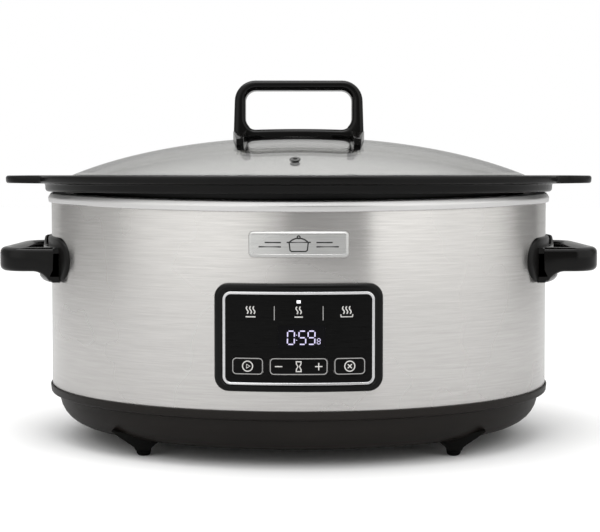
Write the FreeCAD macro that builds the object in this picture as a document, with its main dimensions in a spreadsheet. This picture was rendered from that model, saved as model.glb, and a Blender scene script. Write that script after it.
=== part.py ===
import FreeCAD, Part
import os
import re

import Sketcher

# An oval countertop slow cooker: a steel-wrapped heating base, a cast pot that lifts out of its well, and a
# domed glass lid that lifts off the pot. Millimetres, +Z up, front towards -Y, origin on the worktop under
# the centre. Every oval piece is turned as a round body about Z and then narrowed in Y by oval_ratio, so a
# radius below is always the half width along X.

DIMENSIONS = {
    # plan
    "oval_ratio": (0.753, "depth of every oval over its width"),
    "shell_radius": (184.5, "outside of the steel wrap"),
    "shell_wall": (0.8, "steel wrap"),
    "gap": (0.3, "assembly gap between neighbouring pieces"),
    # base tub
    "tub_floor": (10.5, "underside of the tub above the worktop"),
    "tub_wall": (2.6, "moulded wall of the tub"),
    "tub_radius": (179.0, "outside of the tub under its band"),
    "tub_round": (21.6, "large radius from side to floor"),
    "band_radius": (185.9, "outside of the band round the top of the tub"),
    "band_bottom": (32.8, "underside of the band"),
    "band_top": (39.4, "top edge of the band"),
    "shell_bottom": (38.0, "lower edge of the steel wrap, seated in the band"),
    # top of the heating base
    "shell_top": (174.5, "upper edge of the steel wrap"),
    "rim_radius": (187.0, "outside of the rim ring"),
    "rim_inner": (174.5, "inner edge of the rim ring"),
    "rim_top": (180.7, "rim ring top at the two ends"),
    "rim_height": (7.2, "height of the rim ring's outer face"),
    "rim_web": (2.0, "thickness of the rim ring's top web"),
    "rim_dip": (3.9, "how far the rim dips at front and back"),
    # heating well
    "well_radius": (170.5, "inside of the well"),
    "well_floor": (46.0, "top of the well floor"),
    "well_top": (173.4, "top of the well flange"),
    "well_wall": (0.8, "pressed steel of the well"),
    "well_corner": (16.0, "radius between wall and floor of the well"),
    "heater_low": (68.0, "lower edge of the heating band"),
    "heater_high": (126.0, "upper edge of the heating band"),
    "shield_z": (38.0, "underside of the heat shield"),
    "board_z": (18.0, "underside of the power board"),
    # cooking pot
    "flange_top": (192.9, "top of the pot flange"),
    "flange_radius": (198.0, "outside of the pot flange"),
    "flange_thick": (5.4, "thickness of the pot flange"),
    "lip_radius": (189.2, "outside of the bead under the flange"),
    "lip_thick": (4.6, "width of that bead"),
    "lip_bottom": (181.1, "underside of the bead"),
    "ledge_radius": (172.5, "outside of the recess that the lid sits in"),
    "ledge_top": (189.6, "floor of the lid recess"),
    "pot_mouth": (168.4, "outside of the pot wall at the top"),
    "pot_foot": (162.6, "outside of the pot wall at the bottom"),
    "pot_wall": (3.0, "cast wall"),
    "pot_bottom": (48.6, "underside of the pot"),
    "pot_floor": (53.0, "inside floor of the pot"),
    "pot_corner": (18.0, "outer radius at the foot of the pot"),
    "tab_reach": (213.0, "end of each carrying tab from the centre"),
    "tab_width": (104.0, "carrying tab across"),
    "tab_corner": (20.0, "corner radius of the tab"),
    # lid
    "lid_radius": (169.4, "outside of the glass"),
    "lid_seat": (189.9, "underside of the glass edge"),
    "dome_width": (230.0, "half width of the ellipsoid that the dome is part of"),
    "dome_rise": (88.0, "half height of that ellipsoid"),
    "dome_top": (221.6, "highest point of the glass"),
    "glass_thick": (4.0, "tempered glass"),
    "vent_offset": (105.0, "steam vent in front of the lid's centre"),
    "vent_side": (-2.4, "steam vent to the side of the lid's centre"),
    "vent_slope": (21.2, "tilt of the glass at the vent, in degrees"),
    "vent_neck": (2.5, "outside of the eyelet's neck"),
    "knob_half": (47.8, "half width of the lid handle"),
    "knob_top": (263.7, "top of the lid handle"),
    "knob_depth": (20.0, "lid handle front to back"),
    "knob_hole_half": (39.8, "half width of the finger opening"),
    "knob_hole_low": (227.6, "floor of the finger opening"),
    "knob_hole_high": (256.3, "roof of the finger opening"),
    "knob_corner": (15.5, "outer corner radius of the lid handle"),
    "knob_hole_corner": (8.0, "corner radius of the finger opening"),
    "runner_reach": (62.0, "front and back reach of the lid handle's feet"),
    "runner_height": (6.0, "height of those feet above the glass"),
    "runner_inner": (36.0, "inner side of those feet from the centre"),
    "knob_screw_x": (43.4, "lid screws from the centre"),
    # side handles
    "grip_reach": (216.4, "end of each side handle from the centre"),
    "grip_half": (57.0, "half depth of a side handle"),
    "grip_arm": (10.0, "thickness of the handle's bar and arms in plan"),
    "grip_back": (3.4, "thickness of the handle's root bar along the mounting plate"),
    "grip_low": (124.4, "underside of the grip"),
    "grip_high": (141.6, "top of the grip"),
    "grip_corner": (20.0, "outer corner radius in plan"),
    "root_low": (116.6, "lowest point of the handle root"),
    "root_high": (148.6, "highest point of the handle root"),
    "plate_radius": (187.1, "outside of the mounting plate behind a handle"),
    "plate_half": (68.0, "half length of the mounting plate"),
    "grip_screw_y": (51.0, "handle screws from the centre line"),
    "grip_screw_x": (166.0, "inner end of the handle screws"),
    # control panel
    "panel_z": (87.9, "height of the bezel's centre"),
    "trim_z": (87.4, "height of the centre of the trim and the fascia"),
    "bezel_wide": (110.4, "control bezel across"),
    "bezel_tall": (70.8, "control bezel height"),
    "bezel_corner": (9.5, "control bezel corner radius"),
    "bezel_radius": (190.2, "front of the bezel"),
    "trim_wide": (99.6, "bright trim across"),
    "trim_tall": (61.4, "bright trim height"),
    "trim_line": (2.1, "width of the bright trim"),
    "trim_corner": (5.6, "bright trim corner radius"),
    "trim_radius": (189.3, "front of the bright trim"),
    "fascia_radius": (188.7, "front of the black fascia"),
    "fascia_back": (184.9, "back of the fascia, bezel and trim"),
    "digits_z": (88.4, "height of the digits"),
    "light_z": (111.4, "height of the start light"),
    "light_wide": (2.4, "start light across"),
    "light_tall": (1.5, "start light height"),
    "window_wide": (30.8, "display window across"),
    "window_tall": (14.8, "display window height"),
    "window_x": (2.0, "display window's centre to the side of the panel's"),
    "key_z": (69.4, "height of the key row"),
    "key_back": (182.9, "back of a key's flange"),
    "key_tall": (11.4, "key height"),
    "key_wide": (20.6, "start and stop keys across"),
    "key_x": (33.2, "start and stop keys from the centre"),
    "timer_wide": (38.0, "timer key across"),
    "key_corner": (2.9, "key corner radius"),
    "key_gap": (0.3, "gap round a key"),
    "key_lip": (1.3, "how far a key's flange reaches past its cap"),
    "timer_room": (0.9, "room in front of the timer key's flange, so that it can rock"),
    "timer_axis": (138.1, "rocking axis of the timer key, in front of the centre"),
    "board_front": (133.2, "front face of the display board, in front of the centre"),
    "board_half": (40.0, "half width of the display board"),
    "board_thick": (1.6, "circuit boards"),
    # badge
    "badge_z": (148.6, "height of the badge"),
    "badge_wide": (65.2, "badge across"),
    "badge_tall": (17.2, "badge height"),
    "badge_corner": (3.0, "badge corner radius"),
    "badge_radius": (187.0, "front of the badge"),
    # feet and gland
    "foot_x": (107.0, "feet from the centre line, sideways"),
    "foot_y": (88.0, "feet from the centre line, front to back"),
    "foot_stem": (5.0, "radius of a foot"),
    "foot_deep": (12.0, "thickness of a foot, front to back"),
    "foot_out": (22.0, "outward reach of a foot's flare"),
    "foot_in": (12.0, "inward reach of a foot's flare"),
    "post_x": (70.0, "posts and base screws from the centre line, sideways"),
    "post_y": (50.0, "posts and base screws from the centre line, front to back"),
    "gland_z": (24.0, "height of the cord gland"),
    "gland_bore": (3.6, "radius of the cord gland's bore"),
    "gland_boss": (10.5, "radius of the tub's boss round the gland"),
    "boss_long": (9.0, "length of that boss"),
}

doc = FreeCAD.newDocument("slow_cooker")
sheet = doc.addObject("Spreadsheet::Sheet", "Dimensions")
for row, (alias, (size, meaning)) in enumerate(DIMENSIONS.items(), start=1):
    sheet.set(f"A{row}", alias)
    sheet.set(f"B{row}", str(size))
    sheet.set(f"C{row}", meaning)
    sheet.setAlias(f"B{row}", alias)
doc.recompute()

ALIAS = re.compile(r"\b(" + "|".join(sorted(DIMENSIONS, key=len, reverse=True)) + r")\b")
NODES = {}


def formula(text):
    """An expression that FreeCAD can bind, from one written with the sheet's bare aliases."""
    return ALIAS.sub(r"Dimensions.\1", str(text))


def value(text):
    """The number that such an expression has now."""
    return float(sheet.evalExpression(formula(text)))


def bind(item, **properties):
    """Bind properties to expressions; a double underscore in a name stands for a dot."""
    for name, text in properties.items():
        item.setExpression(name.replace("__", "."), formula(text))
    return item


def place(item, x=0, y=0, z=0):
    """Bind an object's position to the sheet."""
    bind(item, Placement__Base__x=x, Placement__Base__y=y, Placement__Base__z=z)
    return item


def node(label, item):
    """Give a finished sub-part its name and list it for export."""
    item.Label = label
    NODES[label] = item
    return item


# ---------------------------------------------------------------- shapes shared by the sub-parts


def outline(body, name, plane, corners):
    """A closed sketch of straight edges on an origin plane of the body, each corner pinned to the sheet."""
    sketch = body.newObject("Sketcher::SketchObject", name)
    support = next(f for f in body.Origin.OriginFeatures if f.Role == plane)
    sketch.AttachmentSupport = [(support, "")]
    sketch.MapMode = "FlatFace"
    points = [FreeCAD.Vector(value(u), value(v), 0) for u, v in corners]
    count = len(points)
    for i, start in enumerate(points):
        sketch.addGeometry(Part.LineSegment(start, points[(i + 1) % count]), False)
    for i in range(count):
        sketch.addConstraint(Sketcher.Constraint("Coincident", i, 2, (i + 1) % count, 1))
    for i, texts in enumerate(corners):
        for kind, axis, text in (("DistanceX", -2, texts[0]), ("DistanceY", -1, texts[1])):
            if str(text) == "0":
                sketch.addConstraint(Sketcher.Constraint("PointOnObject", i, 1, axis))
                continue
            found = sketch.addConstraint(Sketcher.Constraint(kind, i, 1, value(text)))
            sketch.setExpression(f"Constraints[{found}]", formula(text))
    doc.recompute()
    return sketch


def soften(body, feature, radius, picks):
    """Round the edges of a feature that the test picks, and make that the body's tip."""
    edges = [f"Edge{i}" for i, edge in enumerate(feature.Shape.Edges, start=1) if picks(edge)]
    fillet = body.newObject("PartDesign::Fillet", feature.Name + "Round")
    fillet.Base = (feature, edges)
    bind(fillet, Radius=radius)
    body.Tip = fillet
    doc.recompute()
    return fillet


def turned(name, corners, rounds=()):
    """A round body about Z. Each round is (radius, corner x, corner z)."""
    body = doc.addObject("PartDesign::Body", name)
    sketch = outline(body, name + "Profile", "XZ_Plane", corners)
    feature = body.newObject("PartDesign::Revolution", name + "Turned")
    feature.Profile = sketch
    feature.ReferenceAxis = (sketch, ["V_Axis"])
    feature.Angle = 360
    body.Tip = feature
    doc.recompute()
    for radius, x, z in rounds:
        feature = soften(body, feature, radius, circle_at(value(x), value(z)))
    return body


def circle_at(radius, height, slack=0.05):
    """A test for the circular edges about Z with that radius and height."""

    def picks(edge):
        if edge.Curve.TypeId != "Part::GeomCircle":
            return False
        centre = edge.Curve.Center
        return abs(edge.Curve.Radius - radius) < slack and abs(centre.z - height) < slack

    return picks


def oval(name, corners, rounds=()):
    """A turned body narrowed in Y to the oval of the cooker."""
    scaled = doc.addObject("Part::Scale", name + "Oval")
    scaled.Base = turned(name, corners, rounds)
    scaled.Uniform = False
    scaled.XScale = 1
    scaled.ZScale = 1
    return bind(scaled, YScale="oval_ratio")


def oval_disc(name, radius, low, high):
    """A solid oval slab between two heights."""
    edge = doc.addObject("Part::Ellipse", name + "Edge")
    bind(edge, MajorRadius=radius, MinorRadius=f"({radius}) * oval_ratio")
    place(edge, 0, 0, low)
    slab = doc.addObject("Part::Extrusion", name)
    slab.Base = edge
    slab.DirMode = "Normal"
    slab.Solid = True
    return bind(slab, LengthFwd=f"({high}) - ({low})")


def oval_block(name, radius, low, high, corner):
    """A solid oval slab with its lower edge rounded."""
    body = doc.addObject("PartDesign::Body", name)
    sketch = body.newObject("Sketcher::SketchObject", name + "Outline")
    support = next(f for f in body.Origin.OriginFeatures if f.Role == "XY_Plane")
    sketch.AttachmentSupport = [(support, "")]
    sketch.MapMode = "FlatFace"
    half_width, half_depth = value(radius), value(f"({radius}) * oval_ratio")
    centre = FreeCAD.Vector(0, 0, 0)
    ends = FreeCAD.Vector(half_width, 0, 0), FreeCAD.Vector(0, half_depth, 0)
    sketch.addGeometry(Part.Ellipse(*ends, centre), False)
    sketch.addConstraint(Sketcher.Constraint("Coincident", 0, 3, -1, 1))
    sketch.exposeInternalGeometry(0)
    sketch.addConstraint(Sketcher.Constraint("Horizontal", 1))
    for line, text in ((1, f"2 * ({radius})"), (2, f"2 * ({radius}) * oval_ratio")):
        found = sketch.addConstraint(Sketcher.Constraint("Distance", line, value(text)))
        sketch.setExpression(f"Constraints[{found}]", formula(text))
    pad = body.newObject("PartDesign::Pad", name + "Pad")
    pad.Profile = sketch
    bind(pad, Length=f"({high}) - ({low})")
    body.Tip = pad
    doc.recompute()
    soften(body, pad, corner, lambda edge: edge.isClosed() and abs(edge.CenterOfMass.z) < 0.01)
    return place(body, 0, 0, low)


def oval_ring(name, inner, outer, low, high):
    """An upright oval band between two radii."""
    ring = doc.addObject("Part::Cut", name)
    ring.Base = oval_disc(name + "Outer", outer, low, high)
    ring.Tool = oval_disc(name + "Inner", inner, f"({low}) - 1", f"({high}) + 1")
    return ring


def box(name, size, corner):
    """A block of that size whose lowest corner is at corner."""
    item = doc.addObject("Part::Box", name)
    bind(item, Length=size[0], Width=size[1], Height=size[2])
    return place(item, *corner)


UP = FreeCAD.Rotation()
ALONG_X = FreeCAD.Rotation(FreeCAD.Vector(0, 1, 0), 90)
ALONG_Y = FreeCAD.Rotation(FreeCAD.Vector(1, 0, 0), -90)


def rod(name, radius, length, start, turn=UP):
    """A cylinder from start, along +Z unless turned."""
    item = doc.addObject("Part::Cylinder", name)
    item.Placement.Rotation = turn
    bind(item, Radius=radius, Height=length)
    return place(item, *start)


def cut(name, base, *tools):
    """Base less every tool."""
    for i, tool in enumerate(tools, start=1):
        item = doc.addObject("Part::Cut", f"{name}Cut{i}")
        item.Base, item.Tool = base, tool
        base = item
    return base


def common(name, first, second):
    """What two shapes share."""
    item = doc.addObject("Part::Common", name)
    item.Base, item.Tool = first, second
    return item


def fuse(name, *shapes):
    """Several overlapping shapes as one solid."""
    item = doc.addObject("Part::MultiFuse", name)
    item.Shapes = list(shapes)
    return item


def group(name, *shapes):
    """Separate solids that share one node."""
    item = doc.addObject("Part::Compound", name)
    item.Links = list(shapes)
    return item


def mirrored(name, source):
    """The same piece on the other end of the cooker."""
    item = doc.addObject("Part::Mirroring", name)
    item.Source = source
    item.Base = FreeCAD.Vector(0, 0, 0)
    item.Normal = FreeCAD.Vector(1, 0, 0)
    return item


def prism(name, plane, corners, length, centred=False, rounds=()):
    """A straight bar of that outline, padded off an origin plane. Each round is (radius, u, v)."""
    body = doc.addObject("PartDesign::Body", name)
    pad = body.newObject("PartDesign::Pad", name + "Pad")
    pad.Profile = outline(body, name + "Outline", plane, corners)
    pad.Midplane = centred
    bind(pad, Length=length)
    body.Tip = pad
    doc.recompute()
    feature = pad
    for radius, u, v in rounds:
        feature = soften(body, feature, radius, long_edge_at(plane, value(u), value(v)))
    return body


def long_edge_at(plane, u, v, slack=0.05):
    """A test for the straight edges that stand square on the plane at (u, v)."""
    first, second, along = {"XY_Plane": (0, 1, 2), "XZ_Plane": (0, 2, 1), "YZ_Plane": (1, 2, 0)}[plane]

    def picks(edge):
        start, end = edge.firstVertex().Point, edge.lastVertex().Point
        here = abs(start[first] - u) < slack and abs(start[second] - v) < slack
        return here and abs(start[first] - end[first]) < slack and abs(start[along] - end[along]) > 1

    return picks


def rounded(wide, tall, corner, x=0, z=0):
    """The corners and rounds of a rectangle about a point, for prism()."""
    left, right = f"{x} - ({wide}) / 2", f"{x} + ({wide}) / 2"
    low, high = f"{z} - ({tall}) / 2", f"{z} + ({tall}) / 2"
    corners = [(left, low), (right, low), (right, high), (left, high)]
    return corners, [(corner, u, v) for u, v in corners]


def front_prism(name, wide, tall, corner, x=0, z=0):
    """A rounded rectangular bar along Y that reaches out through the front wall."""
    corners, rounds = rounded(wide, tall, corner, x, z)
    return prism(name, "XZ_Plane", corners, 200, rounds=rounds)


def on_front(name, inner, outer, bar):
    """A curved piece of the front: what the bar cuts out of an oval band."""
    return common(name, oval_ring(name + "Band", inner, outer, 20, 170), bar)


def dome(name, lift):
    """The ellipsoid of the lid's outer surface, raised by lift."""
    item = doc.addObject("Part::Ellipsoid", name)
    bind(item, Radius1="dome_rise", Radius2="dome_width", Radius3="dome_width * oval_ratio")
    return place(item, 0, 0, f"dome_top - dome_rise + ({lift})")


LID_SCREWS = ("-knob_screw_x", "knob_screw_x")
CORNERS = [("front_left", -1, -1), ("front_right", 1, -1), ("rear_left", -1, 1), ("rear_right", 1, 1)]


# ---------------------------------------------------------------- base tub, feet and what stands on them


def base_tub():
    """One moulding: a bowl with a band round its top for the steel wrap, and a boss for the cord gland."""
    shape = oval(
        "Tub",
        [
            (0, "tub_floor"),
            ("tub_radius", "tub_floor"),
            ("tub_radius", "band_bottom"),
            ("band_radius", "band_bottom"),
            ("band_radius", "band_top"),
            ("shell_radius + gap", "band_top"),
            ("shell_radius + gap", "shell_bottom - gap"),
            ("tub_radius - tub_wall", "shell_bottom - gap"),
            ("tub_radius - tub_wall", "tub_floor + tub_wall"),
            (0, "tub_floor + tub_wall"),
        ],
        [
            ("tub_round", "tub_radius", "tub_floor"),
            ("tub_round - tub_wall", "tub_radius - tub_wall", "tub_floor + tub_wall"),
        ],
    )
    wall = "tub_radius * oval_ratio"
    boss = rod("TubGlandBoss", "gland_boss", "boss_long", (0, f"{wall} - boss_long", "gland_z"), ALONG_Y)
    hole = rod("TubGlandHole", "gland_bore + 2.3", 30, (0, f"{wall} - 15", "gland_z"), ALONG_Y)
    screw_holes = [
        rod(f"TubScrewHole{i}", 2.2, 12, (f"{sx} * post_x", f"{sy} * post_y", "tub_floor - 4"))
        for i, (_, sx, sy) in enumerate(CORNERS)
    ]
    node("base_tub", cut("TubShape", fuse("TubSolid", shape, boss), hole, *screw_holes))


def feet():
    """Four flared feet under the tub's rounded edge, each with a rubber tip that stands on the worktop."""
    tips = []
    side, low = "tub_radius + 0.1", "tub_floor - 0.1"
    for name, sx, sy in CORNERS:
        x, y = f"{sx} * foot_x", f"{sy} * foot_y"
        wedge = [
            (f"{x} - {sx} * foot_stem", 4.2),
            (f"{x} + {sx} * foot_stem", 4.2),
            (f"{x} + {sx} * (foot_stem + 1)", 6.5),
            (f"{x} + {sx} * foot_out", "tub_floor + 9"),
            (f"{x} - {sx} * foot_in", "tub_floor + 2"),
            (f"{x} - {sx} * (foot_stem + 1)", 6.5),
        ]
        flare = place(prism(f"Flare_{name}", "XZ_Plane", wedge, "foot_deep", centred=True), 0, y, 0)
        outside = oval(
            f"Outside_{name}",
            [(0, low), (side, low), (side, 60), (0, 60)],
            [("tub_round", side, low)],
        )
        node(f"foot_{name}", cut(f"Foot_{name}", flare, outside))
        profile = [(0, 0), ("foot_stem", 0), ("foot_stem", 4), (0, 4)]
        tip = turned(f"Tip_{name}", profile, [(2.4, "foot_stem", 0)])
        tips.append(place(tip, x, y, 0))
    node("foot_tips", group("FootTips", *tips))


def base_fixings():
    """Four posts between tub and well, and the screws that draw them together from below."""
    posts, screws = [], []
    for i, (_, sx, sy) in enumerate(CORNERS):
        x, y = f"{sx} * post_x", f"{sy} * post_y"
        low, high = "tub_floor + tub_wall + 0.1", "well_floor - well_wall - 0.1"
        post = rod(f"Post{i}", 5, f"{high} - ({low})", (x, y, low))
        posts.append(cut(f"PostBored{i}", post, rod(f"PostBore{i}", 2.0, 20, (x, y, "tub_floor"))))
        head = rod(f"BaseHead{i}", 3.8, 2.2, (x, y, "tub_floor - 2.3"))
        shank = rod(f"BaseShank{i}", 1.9, 14, (x, y, "tub_floor - 2"))
        slot = box(f"BaseSlot{i}", (6, 1, 1.2), (f"{x} - 3", f"{y} - 0.5", "tub_floor - 2.8"))
        screws.append(cut(f"BaseScrew{i}", fuse(f"BaseScrewSolid{i}", head, shank), slot))
    node("standoff_posts", group("Posts", *posts))
    node("base_screws", group("BaseScrews", *screws))


def cord_gland():
    """The bushing in the tub's rear boss that a mains lead passes through."""
    wall = "tub_radius * oval_ratio"
    inner = f"{wall} - boss_long"
    flange = rod("GlandFlange", "gland_bore + 4.6", 3, (0, f"{wall} + 0.1", "gland_z"), ALONG_Y)
    neck = rod("GlandNeck", "gland_bore + 2.1", "boss_long + 7.9", (0, f"{inner} - 4.8", "gland_z"), ALONG_Y)
    nut = rod("GlandNut", "gland_bore + 4.2", 3, (0, f"{inner} - 3.1", "gland_z"), ALONG_Y)
    bore = rod("GlandBore", "gland_bore", 40, (0, f"{wall} - 20", "gland_z"), ALONG_Y)
    node("cord_gland", cut("Gland", fuse("GlandSolid", flange, neck, nut), bore))


# ---------------------------------------------------------------- steel wrap, rim ring and heating well


def grip_rods(name, radius, low, length):
    """Bars outwards along X at the four handle screws."""
    rods = []
    for i, (_, sx, sy) in enumerate(CORNERS):
        x = f"{sx} * ({low} + {length} / 2) - {length} / 2"
        start = (x, f"{sy} * grip_screw_y", "(grip_low + grip_high) / 2")
        rods.append(rod(f"{name}{i}", radius, length, start, ALONG_X))
    return rods


def outer_shell():
    """The brushed steel wrap, with a window behind the fascia and holes for screws and badge pins."""
    shape = oval_ring("Shell", "shell_radius - shell_wall", "shell_radius", "shell_bottom", "shell_top")
    window = front_prism("ShellWindow", "trim_wide - 5", "trim_tall - 5", 3, 0, "trim_z")
    pins = [rod(f"ShellPin{i}", 1.6, 50, (x, -170, "badge_z"), ALONG_Y) for i, x in enumerate((-26, 26))]
    screw_holes = grip_rods("ShellScrewHole", 2.5, 150, 50)
    node("outer_shell", cut("ShellShape", shape, window, *pins, *screw_holes))


def rim_ring():
    """The bright ring over the top edge of the wrap. It dips at the front and back as a shallow saddle."""
    sweep = "(rim_radius * rim_radius / (2 * rim_dip))"
    lowest = "rim_top - rim_dip"

    def above(name, drop):
        return rod(name, sweep, 400, (0, -200, f"{lowest} - ({drop}) + {sweep}"), ALONG_Y)

    stock = oval_ring("RimStock", "rim_inner", "rim_radius", "rim_top - 14", "rim_top + 2")
    band = common("RimBand", stock, above("RimSkirtLine", "rim_height"))
    inside = oval_ring("RimInside", "rim_inner - 5", "shell_radius + gap", "rim_top - 20", "rim_top + 4")
    hollow = cut("RimHollow", inside, above("RimWebLine", "rim_web"))
    node("rim_ring", cut("RimShape", band, above("RimTopLine", 0), hollow))


def well_liner():
    """The pressed well that the pot sits in, hung from a flange under the rim ring."""
    low = "well_floor - well_wall"
    outside = oval_block("WellOutside", "well_radius + well_wall", low, "well_top", "well_corner + well_wall")
    flange = oval_disc("WellFlange", "shell_radius - shell_wall - gap", "well_top - well_wall", "well_top")
    inside = oval_block("WellInside", "well_radius", "well_floor", "well_top + 5", "well_corner")
    node("well_liner", cut("Well", fuse("WellSolid", outside, flange), inside))


def heating_parts():
    """What hangs on the well: heater, strap, shield, sensor and fuse."""
    well = "well_radius + well_wall"
    node("heating_band", oval_ring("Heater", f"{well} + 0.2", f"{well} + 1.2", "heater_low", "heater_high"))
    strap_low = "(heater_low + heater_high) / 2 - 5"
    node("heater_strap", oval_ring("Strap", f"{well} + 1.3", f"{well} + 1.8", strap_low, f"{strap_low} + 10"))
    shield = oval_disc("Shield", 128, "shield_z", "shield_z + 0.6")
    holes = [
        rod(f"ShieldHole{i}", 5.4, 6, (f"{sx} * post_x", f"{sy} * post_y", "shield_z - 3"))
        for i, (_, sx, sy) in enumerate(CORNERS)
    ]
    node("heat_shield", cut("ShieldShape", shield, *holes))
    under = "well_floor - well_wall - 0.1"
    node("temperature_sensor", rod("Sensor", 6, 4, (0, 0, f"{under} - 4")))
    clip = box("FuseClip", (26, 9, 1), (30, -4.5, f"{under} - 1"))
    tube = rod("FuseTube", 2, 22, (32, 0, f"{under} - 2.9"), ALONG_X)
    node("thermal_fuse", fuse("Fuse", clip, tube))


# ---------------------------------------------------------------- electronics


def power_board():
    """The supply board on the tub floor, with its relay, capacitor and terminal block."""
    top = "board_z + board_thick"
    plate = box("PowerPlate", (88, 56, "board_thick"), (-44, 24, "board_z"))
    pegs = [
        rod(f"PowerPeg{i}", 2.5, "board_z - tub_floor - tub_wall + 0.3", (x, y, "tub_floor + tub_wall + 0.1"))
        for i, (x, y) in enumerate([(-39, 29), (39, 29), (-39, 75), (39, 75)])
    ]
    node("power_board", fuse("PowerBoard", plate, *pegs))
    node("power_relay", box("Relay", (20, 15, 15), (-36, 50, f"{top} + 0.1")))
    node("filter_capacitor", box("Capacitor", (18, 8, 12), (-6, 60, f"{top} + 0.1")))
    block = box("TerminalStock", (24, 11, 11), (16, 64, f"{top} + 0.1"))
    height = f"{top} + 5.5"
    ways = [rod(f"TerminalWay{i}", 2, 14, (x, 62, height), ALONG_Y) for i, x in enumerate((20, 28, 36))]
    node("terminal_block", cut("Terminal", block, *ways))


def display_board():
    """The board behind the fascia with its key switches, digits and start light."""
    size = "2 * board_half", "board_thick", 50
    node("display_board", box("DisplayPlate", size, ("-board_half", "-board_front", "trim_z - 25")))
    switches = []
    for i, x in enumerate(("-key_x", -13, 13, "key_x")):
        base = box(f"SwitchBase{i}", (5, 0.8, 5), (f"{x} - 2.5", "-board_front - 0.9", "key_z - 2.5"))
        dot = rod(f"SwitchDot{i}", 1.2, 0.5, (x, "-board_front - 1.2", "key_z"), ALONG_Y)
        switches.append(fuse(f"Switch{i}", base, dot))
    node("key_switches", group("Switches", *switches))
    node("display_module", box("Digits", (29, 4.5, 14), (-12.5, "-board_front - 4.6", "digits_z - 7")))
    corner = ("-light_wide / 2", "-(fascia_radius * oval_ratio + 0.1)", "light_z - light_tall / 2")
    node("start_light", box("Light", ("light_wide", 7, "light_tall"), corner))


# ---------------------------------------------------------------- control panel and badge


def keys():
    """Outline, label and place of the three keys."""
    return [
        ("start_key", "key_wide", "-key_x"),
        ("timer_key", "timer_wide", 0),
        ("stop_key", "key_wide", "key_x"),
    ]


def control_panel():
    """Bezel, bright trim and fascia, each following the curve of the front."""
    outer = front_prism("BezelOuter", "bezel_wide", "bezel_tall", "bezel_corner", 0, "panel_z")
    inner = front_prism("BezelInner", "trim_wide + 0.1", "trim_tall + 0.1", "trim_corner", 0, "trim_z")
    bezel = on_front("Bezel", "shell_radius + 0.1", "bezel_radius", outer)
    node("control_bezel", cut("BezelShape", bezel, inner))

    outer = front_prism("TrimOuter", "trim_wide - 0.1", "trim_tall - 0.1", "trim_corner", 0, "trim_z")
    fascia_wide, fascia_tall = "trim_wide - 2 * trim_line", "trim_tall - 2 * trim_line"
    fascia_corner = "trim_corner - trim_line"
    inner = front_prism("TrimInner", fascia_wide, fascia_tall, fascia_corner, 0, "trim_z")
    trim = on_front("Trim", "fascia_back", "trim_radius", outer)
    node("control_trim", cut("TrimShape", trim, inner))

    size = f"{fascia_wide} - 0.2", f"{fascia_tall} - 0.2", fascia_corner
    face = front_prism("FasciaOutline", *size, 0, "trim_z")
    openings = []
    for i, (_, wide, x) in enumerate(keys()):
        size = f"{wide} + 2 * key_gap", "key_tall + 2 * key_gap", "key_corner + key_gap"
        openings.append(front_prism(f"KeyOpening{i}", *size, x, "key_z"))
    size = "window_wide + 0.2", "window_tall + 0.2", 1.2
    openings.append(front_prism("LensOpening", *size, "window_x", "digits_z"))
    size = "light_wide + 2 * key_gap", 20, "light_tall + 2 * key_gap"
    corner = "-light_wide / 2 - key_gap", -150, "light_z - light_tall / 2 - key_gap"
    openings.append(box("LightOpening", size, corner))
    fascia = on_front("Fascia", "fascia_back", "fascia_radius", face)
    node("control_fascia", cut("FasciaShape", fascia, *openings))
    lens = front_prism("LensOutline", "window_wide", "window_tall", 1.1, "window_x", "digits_z")
    node("display_window", on_front("Lens", "fascia_back + 0.4", "fascia_radius", lens))


def control_keys():
    """Three keys flush with the fascia, each with a wider flange behind it that keeps it in."""
    for label, wide, x in keys():
        face = front_prism(f"Face_{label}", wide, "key_tall", "key_corner", x, "key_z")
        size = f"{wide} + 2 * key_lip", "key_tall + 2 * key_lip", "key_corner + 1"
        back = front_prism(f"Back_{label}", *size, x, "key_z")
        room = "timer_room" if label == "timer_key" else 0.4
        cap = on_front(f"Cap_{label}", "key_back", "fascia_radius + 0.1", face)
        flange = on_front(f"Flange_{label}", "key_back", f"fascia_back - {room}", back)
        solid = fuse(f"Solid_{label}", cap, flange)
        if label == "timer_key":
            solid = fuse("TimerKey", solid, *timer_pivot_and_pips())
        node(label, solid)


def timer_pivot_and_pips():
    """The upright pin that the timer key rocks on, and the two pips that press its switches."""
    half = "(key_tall / 2 + key_lip + 1.6)"
    pivot = rod("TimerPivot", 0.7, f"2 * {half}", (0, "-timer_axis", f"key_z - {half}"))
    start = "-(key_back * oval_ratio + 0.5)"
    pips = [rod(f"Pip{i}", 1.4, 3, (x, start, "key_z"), ALONG_Y) for i, x in enumerate((-13, 13))]
    return [pivot, *pips]


def badge():
    """A blank raised plate with two pins through the wrap, held by push-on clips."""
    face = front_prism("BadgeOutline", "badge_wide", "badge_tall", "badge_corner", 0, "badge_z")
    pins, clips = [], []
    for i, x in enumerate((-26, 26)):
        pins.append(rod(f"BadgePin{i}", 1.3, 8, (x, -140.0, "badge_z"), ALONG_Y))
        disc = rod(f"ClipDisc{i}", 3.4, 0.6, (x, -135.6, "badge_z"), ALONG_Y)
        clips.append(cut(f"Clip{i}", disc, rod(f"ClipBore{i}", 1.35, 4, (x, -137, "badge_z"), ALONG_Y)))
    plate = on_front("BadgePlate", "shell_radius + 0.1", "badge_radius", face)
    node("badge", fuse("Badge", plate, *pins))
    node("badge_clips", group("BadgeClips", *clips))


# ---------------------------------------------------------------- side handles


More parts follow.
